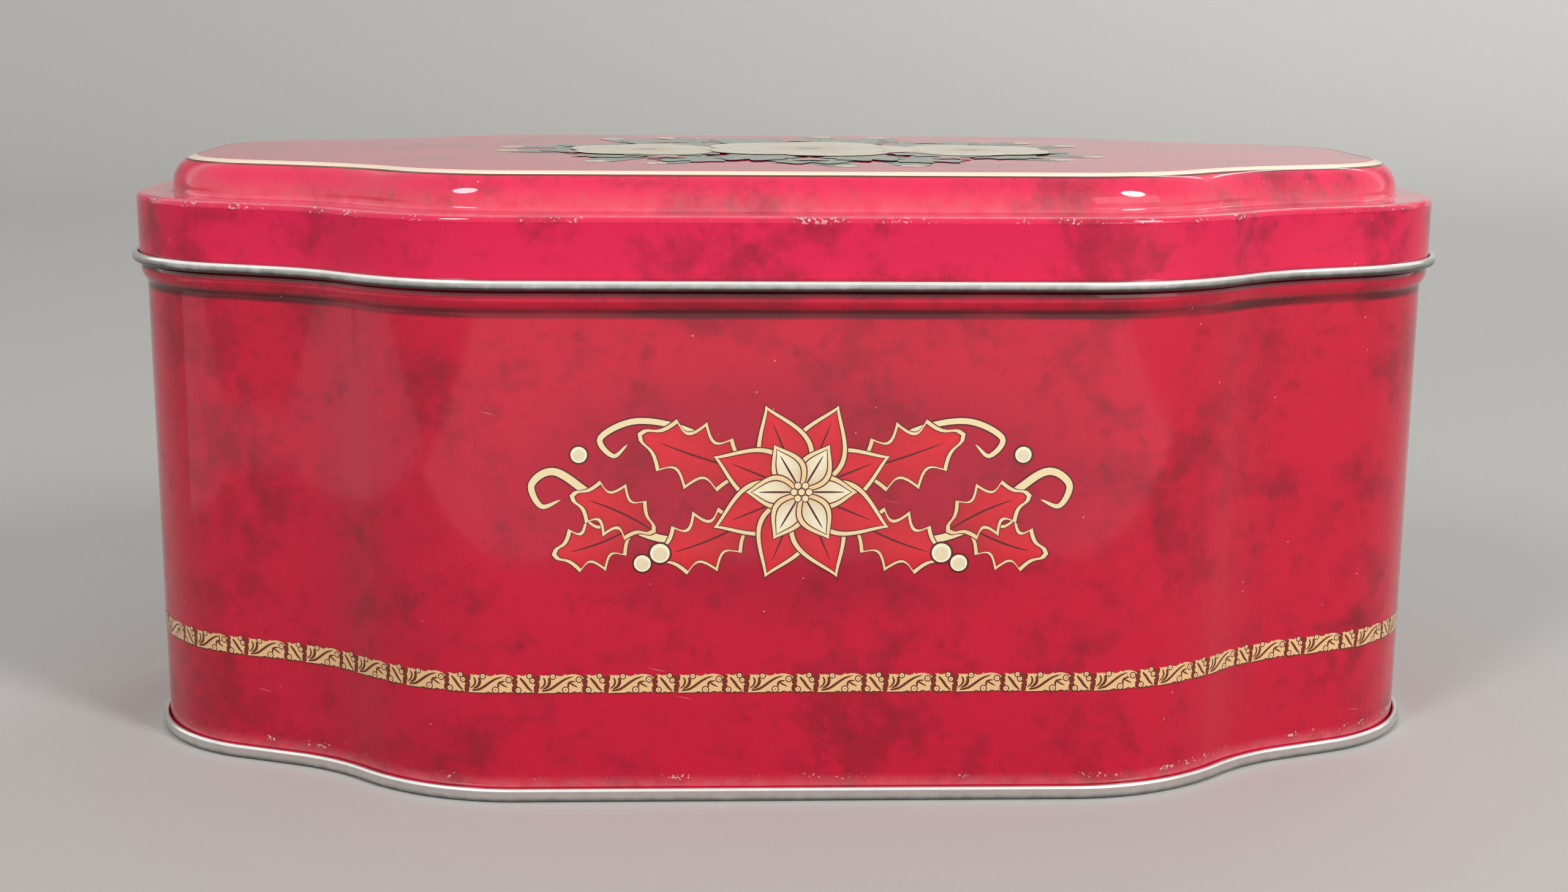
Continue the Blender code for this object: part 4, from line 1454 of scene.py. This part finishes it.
class TIN_OT_stage(bpy.types.Operator):
    """Make the floor, the lamps and the camera"""

    bl_idname = "tin.stage"
    bl_label = "Stage"

    # Name, shape, place and aim, width and height in metres, and power
    lamps = (
        ("left_box", "ELLIPSE", (-0.584, -0.775, 0.765), (0, 0, 0.06), 0.25, 0.40, 4.5),
        ("right_box", "ELLIPSE", (0.703, -0.736, 0.696), (0, 0, 0.06), 0.26, 0.42, 6.8),
        ("low_panel", "RECTANGLE", (0.8, -1.1, 0.42), (0, 0, 0.05), 1.0, 0.5, 2.7),
        ("backdrop_lamp", "RECTANGLE", (0.75, 1.0, 1.4), (0.65, 1.65, 0.45), 1.2, 0.4, 9.0),
        ("front_card", "RECTANGLE", (0.03, -0.395, 0.004), (0.03, -0.395, 1), 0.54, 0.41, 0.36),
        ("left_card", "RECTANGLE", (-0.48, -0.12, 0.004), (-0.48, -0.12, 1), 0.45, 0.20, 0.11),
    )
    room_light = 0.44
    room_seen = 1.2

    # Sizes of the floor in metres, and the distances between which it pales and glows
    floor_half_width = 5.6
    floor_front = -5.6
    bend_start = 1.0
    bend_radius = 0.7
    bend_step = RIGHT_ANGLE / 32
    backdrop_height = 2.4
    pale_range = {"From Min": 1.0, "From Max": 3.0}
    glow_range = {"From Min": 3.2, "From Max": 5.0}

    def execute(self, context):
        self.make_floor(context.scene.tin_colours)
        self.make_room()
        self.make_lamps()
        self.make_camera(context.scene)
        context.scene.view_settings.view_transform = "Standard"
        return {"FINISHED"}

    def seen_rays(self, tree):
        """The rays to which things look as they are: to the camera, in gloss, through glass."""
        rays = [
            add(tree, "LightPath", output=f"Is {kind} Ray")
            for kind in ("Camera", "Glossy", "Transmission")
        ]
        some = add(tree, "Math", {0: rays[0], 1: rays[1]}, operation="MAXIMUM")
        return add(tree, "Math", {0: some, 1: rays[2]}, operation="MAXIMUM")

    def make_floor(self, colours):
        """A floor that sweeps up into a backdrop behind the box, and pales into the room."""
        bm = bmesh.new()
        sides = (-self.floor_half_width, self.floor_half_width)
        ends = [bm.verts.new((side, self.floor_front, 0)) for side in sides]
        flat = Vector((0, self.bend_start - self.floor_front, 0))
        run = drawn_out(bm, [bm.edges.new(ends)], flat)
        centre = (0, self.bend_start, self.bend_radius)
        run = spun(bm, run, centre, RIGHT_ANGLE, self.bend_step, axis=(1, 0, 0))
        drawn_out(bm, run, Vector((0, 0, self.backdrop_height - self.bend_radius)))
        mesh = new_mesh("floor", bm)
        mesh.shade_smooth()
        floor = new_object("floor", mesh)
        material, tree, shader = new_material("paper_backdrop", roughness=0.85)
        seen = self.seen_rays(tree)
        place = add(tree, "TexCoord", output="Object")
        away = add(tree, "VectorMath", {0: place}, output=1, operation="LENGTH")
        pale = add(tree, "MapRange", {"Value": away, **self.pale_range})
        layers = [(seen, colours.floor), (pale, colours.floor_edge)]
        paint(tree, shader, colours.floor_bounce, layers)
        raised = add(tree, "VectorMath", {0: place, 1: (1, 1, 2)}, operation="MULTIPLY")
        away = add(tree, "VectorMath", {0: raised}, output=1, operation="LENGTH")
        edge = {"Value": away, "To Max": self.room_seen, **self.glow_range}
        glow = add(tree, "MapRange", edge, interpolation_type="SMOOTHSTEP")
        glow = add(tree, "Math", {0: glow, 1: seen}, operation="MULTIPLY")
        tree.links.new(glow, shader.inputs["Emission Strength"])
        mesh.materials.append(material)

    def make_room(self):
        """A pale room that lights the box evenly from all round."""
        world = bpy.data.worlds.new("room")
        bpy.context.scene.world = world
        world.use_nodes = True
        tree = world.node_tree
        background = tree.nodes["Background"]
        background.inputs["Color"].default_value = (1, 1, 1, 1)
        seen = self.seen_rays(tree)
        levels = {"Value": seen, "To Min": self.room_light, "To Max": self.room_seen}
        tree.links.new(add(tree, "MapRange", levels), background.inputs["Strength"])

    def make_lamps(self):
        """Two soft boxes to the sides, a low panel in front, cards on the table and a lit back."""
        for name, shape, place, aim, width, height, power in self.lamps:
            lamp = bpy.data.lights.new(name, "AREA")
            lamp.shape = shape
            lamp.size, lamp.size_y, lamp.energy = width, height, power
            box = new_object(name, lamp)
            box.location = place
            sight = Vector(aim) - Vector(place)
            box.rotation_euler = sight.to_track_quat("-Z", "Y").to_euler()
            box.visible_camera = False

    def make_camera(self, scene):
        """The photograph's camera."""
        level_reach = math.cos(CAMERA_PITCH)
        forward, across = math.cos(CAMERA_YAW), math.sin(CAMERA_YAW)
        sight = Vector((across * level_reach, forward * level_reach, -math.sin(CAMERA_PITCH)))
        level = Vector((forward, -across, 0))
        down = sight.cross(level)
        right = math.cos(CAMERA_ROLL) * level + math.sin(CAMERA_ROLL) * down
        up = math.sin(CAMERA_ROLL) * level - math.cos(CAMERA_ROLL) * down
        lens = bpy.data.cameras.new("camera")
        lens.lens = CAMERA_LENS
        lens.sensor_width = SENSOR_WIDTH
        lens.clip_start = 0.01
        camera = new_object("camera", lens)
        turn = Matrix((right, up, -sight)).transposed()
        camera.matrix_world = Matrix.Translation(CAMERA_PLACE) @ turn.to_4x4()
        scene.camera = camera


class TIN_PT_panel(bpy.types.Panel):
    """The steps that make the box, in their order"""

    bl_label = "Printed tinplate box"
    bl_space_type = "VIEW_3D"
    bl_region_type = "UI"
    bl_category = "Tin"

    def draw(self, context):
        for operator in OPERATORS:
            self.layout.operator(operator.bl_idname)
        for group in ("tin_shape", "tin_print", "tin_colours"):
            settings = getattr(context.scene, group)
            for name in settings.__annotations__:
                self.layout.prop(settings, name)


OPERATORS = (
    TIN_OT_stage,
    TIN_OT_wall,
    TIN_OT_base,
    TIN_OT_lid,
    TIN_OT_band,
    TIN_OT_sprig,
    TIN_OT_bunch,
)
CLASSES = (TinShape, TinPrint, TinColours, *OPERATORS, TIN_PT_panel)


def register():
    """Registers the classes and gives the scene its settings."""
    for item in CLASSES:
        bpy.utils.register_class(item)
    bpy.types.Scene.tin_shape = PointerProperty(type=TinShape)
    bpy.types.Scene.tin_print = PointerProperty(type=TinPrint)
    bpy.types.Scene.tin_colours = PointerProperty(type=TinColours)


def unregister():
    """Takes the settings and the classes away again."""
    del bpy.types.Scene.tin_colours
    del bpy.types.Scene.tin_print
    del bpy.types.Scene.tin_shape
    for item in reversed(CLASSES):
        bpy.utils.unregister_class(item)


def main():
    """Makes everything in order."""
    register()
    bpy.ops.tin.stage()
    bpy.ops.tin.wall()
    bpy.ops.tin.base()
    bpy.ops.tin.lid()
    bpy.ops.tin.band()
    bpy.ops.tin.sprig()
    bpy.ops.tin.bunch()


if __name__ == "__main__":
    main()
